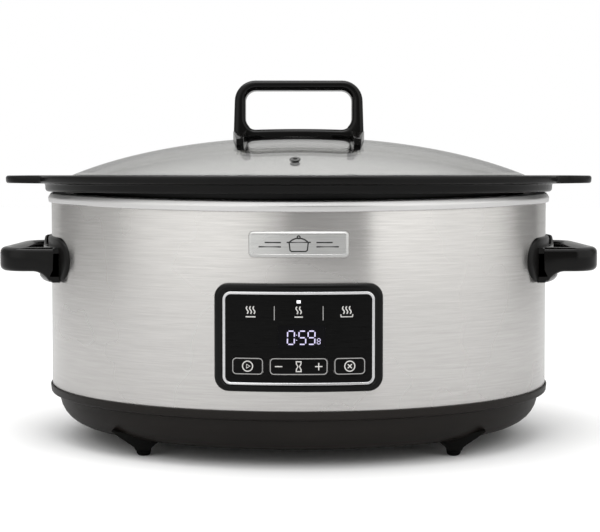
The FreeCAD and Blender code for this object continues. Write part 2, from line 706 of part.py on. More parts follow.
def handle_piece():
    """The right-hand grip: a loop in plan whose root flares down and up along the mounting plate."""
    ends = [("grip_reach", "-grip_half"), ("grip_reach", "grip_half")]
    corners = [(160, "-grip_half"), *ends, (160, "grip_half")]
    rounds = [("grip_corner", u, v) for u, v in ends]
    plan = prism("GripPlan", "XY_Plane", corners, 200, rounds=rounds)
    slab = box("GripSlab", (80, 140, "grip_high - grip_low"), (150, -70, "grip_low"))
    flare = oval(
        "GripFlare",
        [
            (150, "root_low"),
            ("plate_radius + 4", "root_low"),
            ("plate_radius + 7", "root_low + 2.4"),
            ("plate_radius + 11", "root_low + 5.6"),
            ("plate_radius + 15", "grip_low"),
            ("plate_radius + 15", "grip_low + 4"),
            (150, "grip_low + 4"),
        ],
    )
    rise = oval(
        "GripRise",
        [
            (150, "grip_high - 4"),
            ("plate_radius + 6", "grip_high - 4"),
            ("plate_radius + 5.2", "grip_high + 3"),
            ("plate_radius + 3", "root_high"),
            (150, "root_high"),
        ],
    )
    hump = common("GripHump", rise, box("GripHumpLimit", (80, 46, 60), (150, -23, 100)))
    solid = fuse("GripSolid", common("GripLoop", plan, slab), common("GripRoot", plan, flare), hump)
    side, bar = "grip_half - grip_arm", "grip_reach - grip_arm"
    corners = [(150, f"-({side})"), (bar, f"-({side})"), (bar, side), (150, side)]
    rounds = [(9, u, v) for u, v in corners[1:3]]
    hole = prism("GripHole", "XY_Plane", corners, 200, rounds=rounds)
    hole = cut("GripOpening", hole, oval_disc("GripBack", "plate_radius + grip_back", -5, 205))
    against = oval_disc("GripAgainst", "plate_radius + 0.1", 100, 170)
    bores = [
        rod(f"GripBore{i}", 1.9, 28, ("grip_screw_x", y, "(grip_low + grip_high) / 2"), ALONG_X)
        for i, y in enumerate(("-grip_screw_y", "grip_screw_y"))
    ]
    return cut("Grip", solid, hole, against, *bores)


def plate_piece():
    """The right-hand mounting plate: a round-ended pad that follows the curve of the wrap."""
    middle = "(root_low + root_high) / 2"
    tall = "root_high - root_low"
    corners, rounds = rounded("2 * plate_half", tall, f"({tall}) / 2 - 0.1", 0, middle)
    bar = prism("PlateBar", "YZ_Plane", corners, 220, rounds=rounds)
    pad = common("PlateStock", oval_ring("PlateBand", "shell_radius + 0.1", "plate_radius", 100, 170), bar)
    bores = [
        rod(f"PlateBore{i}", 2.5, 40, (155, y, "(grip_low + grip_high) / 2"), ALONG_X)
        for i, y in enumerate(("-grip_screw_y", "grip_screw_y"))
    ]
    return cut("Plate", pad, *bores)


def side_handles():
    """Both grips, both plates and the four screws that hold them from inside the wrap."""
    right = node("handle_right", handle_piece())
    node("handle_left", mirrored("GripLeft", right))
    right = node("handle_plate_right", plate_piece())
    node("handle_plate_left", mirrored("PlateLeft", right))
    shanks = grip_rods("GripShank", 1.8, "grip_screw_x", 22)
    heads = grip_rods("GripScrewHead", 3.4, "grip_screw_x", 2.6)
    screws = [fuse(f"GripScrew{i}", shank, head) for i, (shank, head) in enumerate(zip(shanks, heads))]
    node("handle_screws", group("GripScrews", *screws))


# ---------------------------------------------------------------- pot and lid


def cooking_pot():
    """The cast pot: bowl, flange with a bead under it, recess for the lid, and a carrying tab at each end."""
    under = "flange_top - flange_thick"
    bowl = oval(
        "Pot",
        [
            (0, "pot_bottom"),
            ("pot_foot", "pot_bottom"),
            ("pot_mouth", under),
            ("lip_radius - lip_thick", under),
            ("lip_radius - lip_thick", "lip_bottom"),
            ("lip_radius", "lip_bottom"),
            ("lip_radius", under),
            ("flange_radius", under),
            ("flange_radius", "flange_top"),
            ("ledge_radius", "flange_top"),
            ("ledge_radius", "ledge_top"),
            ("pot_mouth - pot_wall", "ledge_top"),
            ("pot_foot - pot_wall", "pot_floor"),
            (0, "pot_floor"),
        ],
        [
            ("pot_corner", "pot_foot", "pot_bottom"),
            ("pot_corner - pot_wall", "pot_foot - pot_wall", "pot_floor"),
            (2.5, "lip_radius", "lip_bottom"),
        ],
    )
    corners, rounds = rounded("2 * tab_reach", "tab_width", "tab_corner")
    tabs = prism("Tabs", "XY_Plane", corners, "flange_thick - 0.8", rounds=rounds)
    place(tabs, 0, 0, f"{under} + 0.4")
    middle = oval_disc("TabMiddle", "ledge_radius + 4", f"{under} - 5", "flange_top + 5")
    node("cooking_pot", fuse("PotShape", bowl, cut("TabEnds", tabs, middle)))


def lid_glass():
    """The tempered dome, drilled for the handle screws and the vent."""
    disc = oval_disc("GlassEdge", "lid_radius", "lid_seat", "dome_top + 5")
    blank = common("GlassBlank", dome("GlassOutside", 0), disc)
    screws = [rod(f"GlassHole{i}", 2.4, 40, (x, 0, "dome_top - 30")) for i, x in enumerate(LID_SCREWS)]
    vent = vent_rod("GlassVent", "vent_neck + 0.1", 30, 15)
    return node("lid_glass", cut("Glass", blank, dome("GlassInside", "-glass_thick"), *screws, vent))


def vent_rod(name, radius, length, back):
    """A cylinder square to the glass at the vent, from that far behind its surface."""
    turn = FreeCAD.Rotation(FreeCAD.Vector(1, 0, 0), value("vent_slope"))
    item = doc.addObject("Part::Cylinder", name)
    item.Placement.Rotation = turn
    bind(item, Radius=radius, Height=length)
    surface = "dome_top - dome_rise + dome_rise * sqrt(1 - pow(vent_offset / (dome_width * oval_ratio); 2))"
    y = f"-vent_offset + ({back}) * sin(vent_slope * 1 deg)"
    z = f"{surface} - ({back}) * cos(vent_slope * 1 deg)"
    return place(item, "vent_side", y, z)


def vent_eyelet(glass):
    """A grey eyelet pressed through the vent hole."""
    top = vent_rod("VentTop", "vent_neck + 1.3", 1.2, 0.3)
    neck = vent_rod("VentNeck", "vent_neck", 6.2, 5.4)
    rolled = vent_rod("VentRolled", "vent_neck + 0.8", 1.2, 5.4)
    bore = vent_rod("VentBore", "vent_neck - 0.9", 20, 10)
    node("vent_eyelet", cut("Vent", fuse("VentSolid", top, neck, rolled), bore, glass))


def lid_handle():
    """A loop that stands across the lid on two long feet shaped to the glass."""
    corners = [("-knob_half", 205), ("knob_half", 205), ("knob_half", "knob_top"), ("-knob_half", "knob_top")]
    rounds = [("knob_corner", u, v) for u, v in corners[2:]]
    loop = prism("KnobLoop", "XZ_Plane", corners, "knob_depth", centred=True, rounds=rounds)
    wide, low, high = "knob_hole_half", "knob_hole_low", "knob_hole_high"
    corners = [(f"-{wide}", low), (wide, low), (wide, high), (f"-{wide}", high)]
    rounds = [("knob_hole_corner", u, v) for u, v in corners]
    hole = prism("KnobHole", "XZ_Plane", corners, 100, centred=True, rounds=rounds)
    feet_solid = [cut("KnobBody", loop, hole)]
    for i, side in enumerate((-1, 1)):
        near, tip_near = f"{side} * runner_inner", f"{side} * (runner_inner + 1)"
        far, tip_far = f"{side} * (knob_half + 1)", f"{side} * (knob_half - 4)"
        half, end = "knob_depth / 2", "runner_reach"
        plan = [
            (tip_near, f"-{end}"),
            (tip_far, f"-{end}"),
            (far, f"-{half}"),
            (far, half),
            (tip_far, end),
            (tip_near, end),
            (near, half),
            (near, f"-{half}"),
        ]
        runner = place(prism(f"Runner{i}", "XY_Plane", plan, 60), 0, 0, 190)
        feet_solid.append(common(f"RunnerLow{i}", runner, dome(f"RunnerTop{i}", "runner_height")))
    solid = cut("KnobShape", fuse("KnobSolid", *feet_solid), dome("KnobUnder", 0.1))
    bores = [rod(f"KnobBore{i}", 1.7, 18, (x, 0, "dome_top - 4")) for i, x in enumerate(LID_SCREWS)]
    node("lid_handle", cut("Knob", solid, *bores))


def lid_fixings():
    """Two screws up into the lid handle, each on a soft washer under the glass."""
    screws, washers = [], []
    for i, x in enumerate(LID_SCREWS):
        outside = rod(f"WasherOuter{i}", 6, 20, (x, 0, "dome_top - 15"))
        ring = cut(f"WasherStock{i}", outside, rod(f"WasherBore{i}", 2.0, 24, (x, 0, "dome_top - 16")))
        layer = common(f"WasherLayer{i}", ring, dome(f"WasherTop{i}", "-glass_thick - 0.1"))
        washers.append(cut(f"Washer{i}", layer, dome(f"WasherLow{i}", "-glass_thick - 1.6")))
        head = rod(f"LidHead{i}", 3.6, 2.4, (x, 0, "dome_top - 10.4"))
        shank = rod(f"LidShank{i}", 1.6, 18, (x, 0, "dome_top - 9"))
        slot = box(f"LidSlot{i}", (6, 1, 1.2), (f"{x} - 3", -0.5, "dome_top - 10.8"))
        screws.append(cut(f"LidScrew{i}", fuse(f"LidScrewSolid{i}", head, shank), slot))
    node("lid_screws", group("LidScrews", *screws))
    node("lid_washers", group("LidWashers", *washers))


def build():
    """Make every sub-part."""
    base_tub()
    feet()
    base_fixings()
    cord_gland()
    outer_shell()
    rim_ring()
    well_liner()
    heating_parts()
    power_board()
    display_board()
    control_panel()
    control_keys()
    badge()
    side_handles()
    cooking_pot()
    vent_eyelet(lid_glass())
    lid_handle()
    lid_fixings()


build()
doc.recompute()
for item in doc.Objects:
    if "Invalid" in item.State or "Error" in item.State:
        raise RuntimeError(f"{item.Name} failed: {item.getStatusString()}")
for label, item in NODES.items():
    if item.Shape.isNull() or not item.Shape.isValid():
        raise RuntimeError(f"{label} has no valid shape")
os.makedirs("parts", exist_ok=True)
for label, item in NODES.items():
    item.Shape.exportStep(f"parts/{label}.step")
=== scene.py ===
import logging
import math
from dataclasses import dataclass
from enum import Enum
from typing import Callable, Iterable, Optional, Sequence

import bmesh
import bpy
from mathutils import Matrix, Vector


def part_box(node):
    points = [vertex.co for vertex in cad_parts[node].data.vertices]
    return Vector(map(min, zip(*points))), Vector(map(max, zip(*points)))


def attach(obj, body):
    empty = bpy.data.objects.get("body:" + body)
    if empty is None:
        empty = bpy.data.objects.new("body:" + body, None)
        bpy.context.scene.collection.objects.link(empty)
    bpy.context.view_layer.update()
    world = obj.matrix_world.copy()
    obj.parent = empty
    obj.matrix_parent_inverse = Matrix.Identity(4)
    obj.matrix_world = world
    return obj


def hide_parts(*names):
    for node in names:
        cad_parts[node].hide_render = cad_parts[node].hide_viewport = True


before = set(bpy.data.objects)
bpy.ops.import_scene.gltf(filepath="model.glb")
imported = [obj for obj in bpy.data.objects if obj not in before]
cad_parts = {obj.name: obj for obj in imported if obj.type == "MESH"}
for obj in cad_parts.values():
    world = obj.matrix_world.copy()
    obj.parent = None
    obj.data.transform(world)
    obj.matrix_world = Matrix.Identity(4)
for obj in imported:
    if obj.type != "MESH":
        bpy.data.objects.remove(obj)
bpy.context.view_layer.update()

LOG = logging.getLogger("slow_cooker")

Point = tuple[float, float]
Corner = tuple[float, float, float]
Placer = Callable[[float, float, float], Vector]

OVAL_RATIO = 0.753
ROUND_STEPS = 256


class Body(Enum):
    """The rigid groups of the cooker that a piece can belong to."""

    HOUSING = "housing"
    POT = "pot"
    LID = "lid"
    START = "start_button"
    TIMER = "timer_button"
    STOP = "stop_button"


# ------------------------------------------------------------------ outlines


def rounded(corners: Sequence[Corner], closed: bool = True, steps: int = 5) -> list[Point]:
    """Rounds the corners of an outline with arcs.

    Args:
        corners: Corner points as (u, v, radius); a radius of 0 stays sharp.
        closed: Whether the last corner joins the first.
        steps: Straight pieces in each arc.

    Returns:
        The points of the rounded outline, in order.
    """
    points: list[Point] = []
    count = len(corners)
    for i, (u, v, radius) in enumerate(corners):
        at_end = not closed and i in (0, count - 1)
        if radius <= 0 or at_end:
            points.append((u, v))
            continue
        here = Vector((u, v))
        back = (Vector(corners[i - 1][:2]) - here).normalized()
        ahead = (Vector(corners[(i + 1) % count][:2]) - here).normalized()
        half = back.angle(ahead) / 2
        reach = radius / math.tan(half)
        centre = here + (back + ahead).normalized() * radius / math.sin(half)
        first, last = here + back * reach - centre, here + ahead * reach - centre
        sweep = first.angle_signed(last)
        for k in range(steps + 1):
            turn = -sweep * k / steps
            x = first.x * math.cos(turn) - first.y * math.sin(turn)
            y = first.x * math.sin(turn) + first.y * math.cos(turn)
            points.append((centre.x + x, centre.y + y))
    return points


def rounded_box(
    width: float, height: float, radius: float, at: Point = (0, 0), steps: int = 6, along: int = 1
) -> list[Point]:
    """Returns the outline of a rounded rectangle about a point.

    Args:
        width: Size along u.
        height: Size along v.
        radius: Corner radius.
        at: Centre of the rectangle.
        steps: Straight pieces in each corner.
        along: Straight pieces in the lower and the upper side.

    Returns:
        The outline's points, anticlockwise; the first half is the lower side.
    """
    u, v = width / 2, height / 2
    radius = max(min(radius, u * 0.999, v * 0.999), 1e-5)
    corners = [(-u, -v, radius), (u, -v, radius), (u, v, radius), (-u, v, radius)]
    points = rounded(corners, True, steps)
    half = 2 * (steps + 1)
    outline: list[Point] = []
    for side in (points[:half], points[half:]):
        near, far = Vector(side[steps]), Vector(side[steps + 1])
        between = [tuple(near.lerp(far, i / along)) for i in range(1, along)]
        outline += side[: steps + 1] + between + side[steps + 1 :]
    return [(at[0] + x, at[1] + y) for x, y in outline]


# ------------------------------------------------------------------ shaping


def ring(bm: bmesh.types.BMesh, points: Iterable[Vector], closed: bool = True) -> list[bmesh.types.BMEdge]:
    """Adds a loop of edges through some points.

    Args:
        bm: The mesh being shaped.
        points: Where the loop runs.
        closed: Whether it joins up.

    Returns:
        The loop's edges.
    """
    verts = [bm.verts.new(p) for p in points]
    pairs = list(zip(verts, verts[1:]))
    if closed:
        pairs.append((verts[-1], verts[0]))
    return [bm.edges.new(pair) for pair in pairs]


def skin(bm: bmesh.types.BMesh, rings: Sequence[Sequence[Vector]], join_ends: bool = False) -> list[list]:
    """Draws a loop of edges out through a row of rings.

    Args:
        bm: The mesh being shaped.
        rings: Where each ring's points are; every ring has the same number.
        join_ends: Whether the last ring is drawn back to the first.

    Returns:
        The edges of the first and of the last ring.
    """
    first = ring(bm, rings[0])
    edges = first
    verts = list(bm.verts)[-len(rings[0]) :]
    for points in list(rings[1:]) + ([rings[0]] if join_ends else []):
        made = bmesh.ops.extrude_edge_only(bm, edges=edges)["geom"]
        fresh = {item for item in made if isinstance(item, bmesh.types.BMVert)}
        verts = [next(e.other_vert(v) for e in v.link_edges if e.other_vert(v) in fresh) for v in verts]
        for vert, point in zip(verts, points):
            vert.co = point
        edges = [bm.edges.get(pair) for pair in zip(verts, verts[1:] + verts[:1])]
    return [first, edges]


def cap(bm: bmesh.types.BMesh, loop: list[bmesh.types.BMEdge]) -> None:
    """Closes a loop of edges with one face."""
    bmesh.ops.contextual_create(bm, geom=loop)


def cap_across(bm: bmesh.types.BMesh, loop: list[bmesh.types.BMEdge]) -> None:
    """Closes a rounded rectangle with strips from its lower side to its upper side."""
    half = len(loop) // 2
    bmesh.ops.bridge_loops(bm, edges=loop[: half - 1] + loop[half:-1])


def tidy(bm: bmesh.types.BMesh, distance: float = 1e-6) -> None:
    """Merges doubled points and turns every face outwards."""
    bmesh.ops.remove_doubles(bm, verts=bm.verts, dist=distance)
    bmesh.ops.recalc_face_normals(bm, faces=bm.faces)


def soften(bm: bmesh.types.BMesh, edges: list[bmesh.types.BMEdge], offset: float, segments: int) -> None:
    """Rounds some edges.

    Args:
        bm: The mesh being shaped.
        edges: The edges to round.
        offset: How far the rounding reaches from each edge.
        segments: Faces across it.
    """
    bmesh.ops.bevel(
        bm,
        geom=edges,
        offset=offset,
        segments=segments,
        profile=0.5,
        affect="EDGES",
        material=-1,
        clamp_overlap=True,
    )


def lathe(outline: Sequence[Point], closed: bool = True, steps: int = ROUND_STEPS) -> bmesh.types.BMesh:
    """Turns an outline about Z and narrows it in Y to the cooker's oval.

    Args:
        outline: Points as (radius, height).
        closed: Whether the outline is a closed ring, or a line that starts and ends on the axis.
        steps: Faces round the axis.

    Returns:
        The turned mesh.
    """
    bm = bmesh.new()
    edges = ring(bm, [Vector((r, 0, z)) for r, z in outline], closed)
    parts = list(bm.verts) + edges
    bmesh.ops.spin(
        bm, geom=parts, cent=(0, 0, 0), axis=(0, 0, 1), angle=math.tau, steps=steps, use_merge=True
    )
    tidy(bm)
    bmesh.ops.scale(bm, vec=(1, OVAL_RATIO, 1), verts=bm.verts)
    return bm


def slice_along(bm: bmesh.types.BMesh, axis: int, low: float, high: float, step: float) -> None:
    """Cuts a mesh with square planes so that it can be bent.

    Args:
        bm: The mesh being shaped.
        axis: 0, 1 or 2 for the planes' normal.
        low: First plane.
        high: Last plane.
        step: Distance between planes.
    """
    normal = Vector((0, 0, 0))
    normal[axis] = 1
    count = max(int((high - low) / step), 1)
    for i in range(count + 1):
        at = low + (high - low) * i / count
        parts = list(bm.verts) + list(bm.edges) + list(bm.faces)
        bmesh.ops.bisect_plane(bm, geom=parts, plane_co=normal * at, plane_no=normal, dist=1e-6)


def bend(bm: bmesh.types.BMesh, place: Placer) -> None:
    """Moves each point from flat (u, v, height) to its place on the cooker."""
    for vert in bm.verts:
        vert.co = place(*vert.co)


def plate(
    outline: Callable[[float], list[Point]], section: Sequence[Point], place: Placer
) -> bmesh.types.BMesh:
    """Makes a plate with a shaped edge that lies on a curved surface.

    Args:
        outline: Gives the plan for an inset from the widest edge, as a rounded rectangle.
        section: (inset, height) from the back edge to the front face.
        place: Where a flat point goes.

    Returns:
        The bent plate.
    """
    bm = bmesh.new()
    ends = skin(bm, [[Vector((u, v, height)) for u, v in outline(inset)] for inset, height in section])
    for loop in ends:
        cap_across(bm, loop)
    tidy(bm)
    bend(bm, place)
    return bm


def frame_bar(
    outline: Callable[[float], list[Point]], section: Sequence[Point], place: Placer
) -> bmesh.types.BMesh:
    """Makes a frame of constant section round an outline, on a curved surface.

    Args:
        outline: Gives the plan for an inset from the outer edge.
        section: Closed ring of (inset, height).
        place: Where a flat point goes.

    Returns:
        The bent frame.
    """
    bm = bmesh.new()
    skin(
        bm, [[Vector((u, v, height)) for u, v in outline(inset)] for inset, height in section], join_ends=True
    )
    tidy(bm)
    bend(bm, place)
    return bm


def sweep(
    path: Sequence[Vector], section: Callable[[int, Vector], list[Point]], across: Callable[[int], Vector]
) -> bmesh.types.BMesh:
    """Skins a changing section along a path, with closed ends.

    Args:
        path: Stations along the piece.
        section: Gives the points (sideways, up) of the section at a station.
        across: Gives the sideways direction at a station.

    Returns:
        The swept mesh.
    """
    bm = bmesh.new()
    rings = []
    for i, centre in enumerate(path):
        side = across(i)
        rings.append([centre + side * a + Vector((0, 0, b)) for a, b in section(i, centre)])
    for loop in skin(bm, rings):
        cap(bm, loop)
    tidy(bm)
    return bm


def traced(lines: Sequence[Sequence[Point]], width: float, place: Placer, rise: float) -> bmesh.types.BMesh:
    """Makes thin raised print from centre lines.

    Args:
        lines: Each line's points as (u, v); a line whose ends meet is closed.
        width: Width of the line.
        place: Where a flat point goes.
        rise: How far the print stands up.

    Returns:
        The print as one mesh.
    """
    curve = bpy.data.curves.new("print_line", "CURVE")
    curve.dimensions = "3D"
    curve.bevel_depth = width / 2
    curve.bevel_resolution = 1
    curve.use_fill_caps = True
    for line in lines:
        closed = len(line) > 2 and (Vector(line[0]) - Vector(line[-1])).length < 1e-6
        points = line[:-1] if closed else line
        spline = curve.splines.new("POLY")
        spline.points.add(len(points) - 1)
        for knot, (u, v) in zip(spline.points, points):
            knot.co = (u, v, 0, 1)
        spline.use_cyclic_u = closed
    holder = bpy.data.objects.new("print_line", curve)
    bpy.context.scene.collection.objects.link(holder)
    bpy.context.view_layer.update()
    mesh = bpy.data.meshes.new_from_object(holder.evaluated_get(bpy.context.evaluated_depsgraph_get()))
    bpy.data.objects.remove(holder)
    bm = bmesh.new()
    bm.from_mesh(mesh)
    bpy.data.meshes.remove(mesh)
    for vert in bm.verts:
        vert.co.z *= rise / (width / 2)
    tidy(bm)
    bend(bm, place)
    return bm


def joined(*parts: bmesh.types.BMesh) -> bmesh.types.BMesh:
    """Puts several meshes into the first one.

    Args:
        *parts: The meshes; all but the first are freed.

    Returns:
        The first mesh, with the others in it.
    """
    whole = parts[0]
    for part in parts[1:]:
        holder = bpy.data.meshes.new("part")
        part.to_mesh(holder)
        whole.from_mesh(holder)
        bpy.data.meshes.remove(holder)
        part.free()
    return whole


def arc(centre: Point, radius: float, start: float, end: float, steps: int) -> list[Point]:
    """Returns points along an arc, with angles in degrees."""
    angles = [math.radians(start + (end - start) * i / steps) for i in range(steps + 1)]
    return [(centre[0] + radius * math.cos(a), centre[1] + radius * math.sin(a)) for a in angles]


# ------------------------------------------------------------------ finishes


class Nodes:
    """A short way to add and join shader nodes."""

    def __init__(self, tree: bpy.types.NodeTree) -> None:
        """Starts on an empty node tree."""
        self.tree = tree
        tree.nodes.clear()

    def add(self, kind: str, **settings: object) -> bpy.types.Node:
        """Adds a node and sets its properties.

        Args:
            kind: The node's type, without "ShaderNode".
            **settings: The properties to set on it.

        Returns:
            The new node.
        """
        node = self.tree.nodes.new(kind if kind.startswith("Node") else "ShaderNode" + kind)
        for name, setting in settings.items():
            setattr(node, name, setting)
        return node

    def link(self, source: bpy.types.NodeSocket, target: bpy.types.NodeSocket) -> None:
        """Joins two sockets."""
        self.tree.links.new(source, target)


def make_group(name: str, inputs: dict[str, float], outputs: Sequence[str]) -> tuple[Nodes, object, object]:
    """Makes a shader group with float inputs and outputs.

    Args:
        name: The group's name.
        inputs: Input names with their default values.
        outputs: Output names.

    Returns:
        The group's nodes, its input node and its output node.
    """
    tree = bpy.data.node_groups.new(name, "ShaderNodeTree")
    for label, default in inputs.items():
        socket = tree.interface.new_socket(label, in_out="INPUT", socket_type="NodeSocketFloat")
        socket.default_value = default
    for label in outputs:
        tree.interface.new_socket(label, in_out="OUTPUT", socket_type="NodeSocketFloat")
    nodes = Nodes(tree)
    return nodes, nodes.add("NodeGroupInput"), nodes.add("NodeGroupOutput")


def build_brushing() -> bpy.types.NodeTree:
    """Makes the group for brushed metal: long fine scratches that run round the cooker.

    Returns:
        A group that takes Density and Broad and puts out Scratch and Cloud, both 0 to 1.
    """
    nodes, given, result = make_group("Brushing", {"Density": 900.0, "Broad": 14.0}, ["Scratch", "Cloud"])
    where = nodes.add("TexCoord")
    squeeze = nodes.add("VectorMath", operation="MULTIPLY")
    squeeze.inputs[1].default_value = (0.035, 0.035, 1.0)
    fine = nodes.add("TexNoise", noise_dimensions="3D")
    fine.inputs["Detail"].default_value = 3.0
    fine.inputs["Roughness"].default_value = 0.7
    broad = nodes.add("TexNoise", noise_dimensions="3D")
    broad.inputs["Detail"].default_value = 2.0
    nodes.link(where.outputs["Object"], squeeze.inputs[0])
    nodes.link(squeeze.outputs["Vector"], fine.inputs["Vector"])
    nodes.link(given.outputs["Density"], fine.inputs["Scale"])
    nodes.link(where.outputs["Object"], broad.inputs["Vector"])
    nodes.link(given.outputs["Broad"], broad.inputs["Scale"])
    nodes.link(fine.outputs["Fac"], result.inputs["Scratch"])
    nodes.link(broad.outputs["Fac"], result.inputs["Cloud"])
    return nodes.tree


def build_grain() -> bpy.types.NodeTree:
    """Makes the group for moulded and cast surfaces: a fine grain and faint uneven patches.

    Returns:
        A group that takes Size and Patch and puts out Grain and Smudge, both 0 to 1.
    """
    nodes, given, result = make_group("MouldGrain", {"Size": 900.0, "Patch": 18.0}, ["Grain", "Smudge"])
    where = nodes.add("TexCoord")
    cells = nodes.add("TexVoronoi", feature="SMOOTH_F1")
    patch = nodes.add("TexNoise", noise_dimensions="3D")
    patch.inputs["Detail"].default_value = 4.0
    nodes.link(where.outputs["Object"], cells.inputs["Vector"])
    nodes.link(given.outputs["Size"], cells.inputs["Scale"])
    nodes.link(where.outputs["Object"], patch.inputs["Vector"])
    nodes.link(given.outputs["Patch"], patch.inputs["Scale"])
    nodes.link(cells.outputs["Distance"], result.inputs["Grain"])
    nodes.link(patch.outputs["Fac"], result.inputs["Smudge"])
    return nodes.tree


class Effects:
    """The shader groups that the finishes share, each made once."""

    brushing: Optional[bpy.types.NodeTree] = None
    grain: Optional[bpy.types.NodeTree] = None

    @classmethod
    def prepare(cls) -> None:
        """Makes the groups."""
        cls.brushing = build_brushing()
        cls.grain = build_grain()


def shader(name: str) -> tuple[bpy.types.Material, Nodes, bpy.types.Node]:
    """Starts a material with one Principled shader.

    Args:
        name: The material's name.

    Returns:
        The material, its nodes and its Principled node.
    """
    material = bpy.data.materials.new(name)
    material.use_nodes = True
    nodes = Nodes(material.node_tree)
    surface = nodes.add("BsdfPrincipled")
    out = nodes.add("OutputMaterial")
    nodes.link(surface.outputs["BSDF"], out.inputs["Surface"])
    return material, nodes, surface


def spread(nodes: Nodes, source: bpy.types.NodeSocket, low: float, high: float) -> bpy.types.NodeSocket:
    """Turns a 0 to 1 value into one between two levels.

    Args:
        nodes: The material's nodes.
        source: The value.
        low: Level for 0.3.
        high: Level for 0.7.

    Returns:
        The socket with the new value.
    """
    ramp = nodes.add("MapRange")
    ramp.inputs["From Min"].default_value = 0.3
    ramp.inputs["From Max"].default_value = 0.7
    ramp.inputs["To Min"].default_value = low
    ramp.inputs["To Max"].default_value = high
    nodes.link(source, ramp.inputs["Value"])
    return ramp.outputs["Result"]


def tint(
    nodes: Nodes, source: bpy.types.NodeSocket, dark: Sequence[float], light: Sequence[float]
) -> bpy.types.NodeSocket:
    """Turns a 0 to 1 value into a colour between two.

    Args:
        nodes: The material's nodes.
        source: The value.
        dark: Colour at 0.3.
        light: Colour at 0.7.

    Returns:
        The socket with the colour.
    """
    ramp = nodes.add("ValToRGB")
    ramp.color_ramp.elements[0].position = 0.3
    ramp.color_ramp.elements[1].position = 0.7
    ramp.color_ramp.elements[0].color = (*dark, 1)
    ramp.color_ramp.elements[1].color = (*light, 1)
    nodes.link(source, ramp.inputs["Fac"])
    return ramp.outputs["Color"]


def bumped(
    nodes: Nodes, height: bpy.types.NodeSocket, strength: float, distance: float
) -> bpy.types.NodeSocket:
    """Makes a normal from a height.

    Args:
        nodes: The material's nodes.
        height: The height value.
        strength: How much of it is used.
        distance: The height in metres for a value of 1.

    Returns:
        The normal's socket.
    """
    bump = nodes.add("Bump")
    bump.inputs["Strength"].default_value = strength
    bump.inputs["Distance"].default_value = distance
    nodes.link(height, bump.inputs["Height"])
    return bump.outputs["Normal"]


@dataclass(frozen=True)
class BrushedMetal:
    """Metal with fine lines round it, which draw reflections out up and down."""

    name: str
    dark: tuple[float, float, float]
    light: tuple[float, float, float]
    roughness: tuple[float, float] = (0.26, 0.36)
    density: float = 900.0
    drawn_out: float = 0.75
    relief: float = 0.12

    def build(self) -> bpy.types.Material:
        """Makes the material.

        Returns:
            The new material.
        """
        material, nodes, surface = shader(self.name)
        lines = nodes.add("Group", node_tree=Effects.brushing)
        lines.inputs["Density"].default_value = self.density
        surface.inputs["Metallic"].default_value = 1.0
        surface.inputs["Anisotropic"].default_value = self.drawn_out
        surface.inputs["Anisotropic Rotation"].default_value = 0.25
        round_it = nodes.add("Tangent", direction_type="RADIAL", axis="Z")
        nodes.link(round_it.outputs["Tangent"], surface.inputs["Tangent"])
        nodes.link(tint(nodes, lines.outputs["Scratch"], self.dark, self.light), surface.inputs["Base Color"])
        nodes.link(spread(nodes, lines.outputs["Cloud"], *self.roughness), surface.inputs["Roughness"])
        nodes.link(bumped(nodes, lines.outputs["Scratch"], self.relief, 0.0002), surface.inputs["Normal"])
        return material


@dataclass(frozen=True)
class Moulded:
    """Plastic, rubber, ceramic or a coating: a coloured surface with a grain and faint patches."""

    name: str
    dark: tuple[float, float, float]
    light: tuple[float, float, float]
    roughness: tuple[float, float] = (0.4, 0.5)
    grain: float = 900.0
    relief: float = 0.1
    coat: float = 0.0
    metallic: float = 0.0
    shine: float = 0.5

    def build(self) -> bpy.types.Material:
        """Makes the material.

        Returns:
            The new material.
        """
        material, nodes, surface = shader(self.name)
        skin_of = nodes.add("Group", node_tree=Effects.grain)
        skin_of.inputs["Size"].default_value = self.grain
        surface.inputs["Metallic"].default_value = self.metallic
        surface.inputs["Specular IOR Level"].default_value = self.shine
        surface.inputs["Coat Weight"].default_value = self.coat
        surface.inputs["Coat Roughness"].default_value = 0.06
        nodes.link(
            tint(nodes, skin_of.outputs["Smudge"], self.dark, self.light), surface.inputs["Base Color"]
        )
        nodes.link(spread(nodes, skin_of.outputs["Smudge"], *self.roughness), surface.inputs["Roughness"])
        nodes.link(bumped(nodes, skin_of.outputs["Grain"], self.relief, 0.0002), surface.inputs["Normal"])
        return material


@dataclass(frozen=True)
class ClearGlass:
    """Tempered glass with a faint grey tint, deeper where it is looked at along its surface."""

    name: str
    along: tuple[float, float, float] = (0.78, 0.78, 0.765)
    through: tuple[float, float, float] = (0.97, 0.97, 0.96)

    def build(self) -> bpy.types.Material:
        """Makes the material.

        Returns:
            The new material.
        """
        material, nodes, surface = shader(self.name)
        smear = nodes.add("Group", node_tree=Effects.grain)
        smear.inputs["Patch"].default_value = 9.0
        facing = nodes.add("LayerWeight")
        facing.inputs["Blend"].default_value = 0.3
        color = nodes.add("Mix", data_type="RGBA")
        color.inputs["A"].default_value = (*self.through, 1)
        color.inputs["B"].default_value = (*self.along, 1)
        nodes.link(facing.outputs["Facing"], color.inputs["Factor"])
        nodes.link(color.outputs["Result"], surface.inputs["Base Color"])
        surface.inputs["Transmission Weight"].default_value = 1.0
        surface.inputs["IOR"].default_value = 1.47
        nodes.link(spread(nodes, smear.outputs["Smudge"], 0.0, 0.03), surface.inputs["Roughness"])
        return material


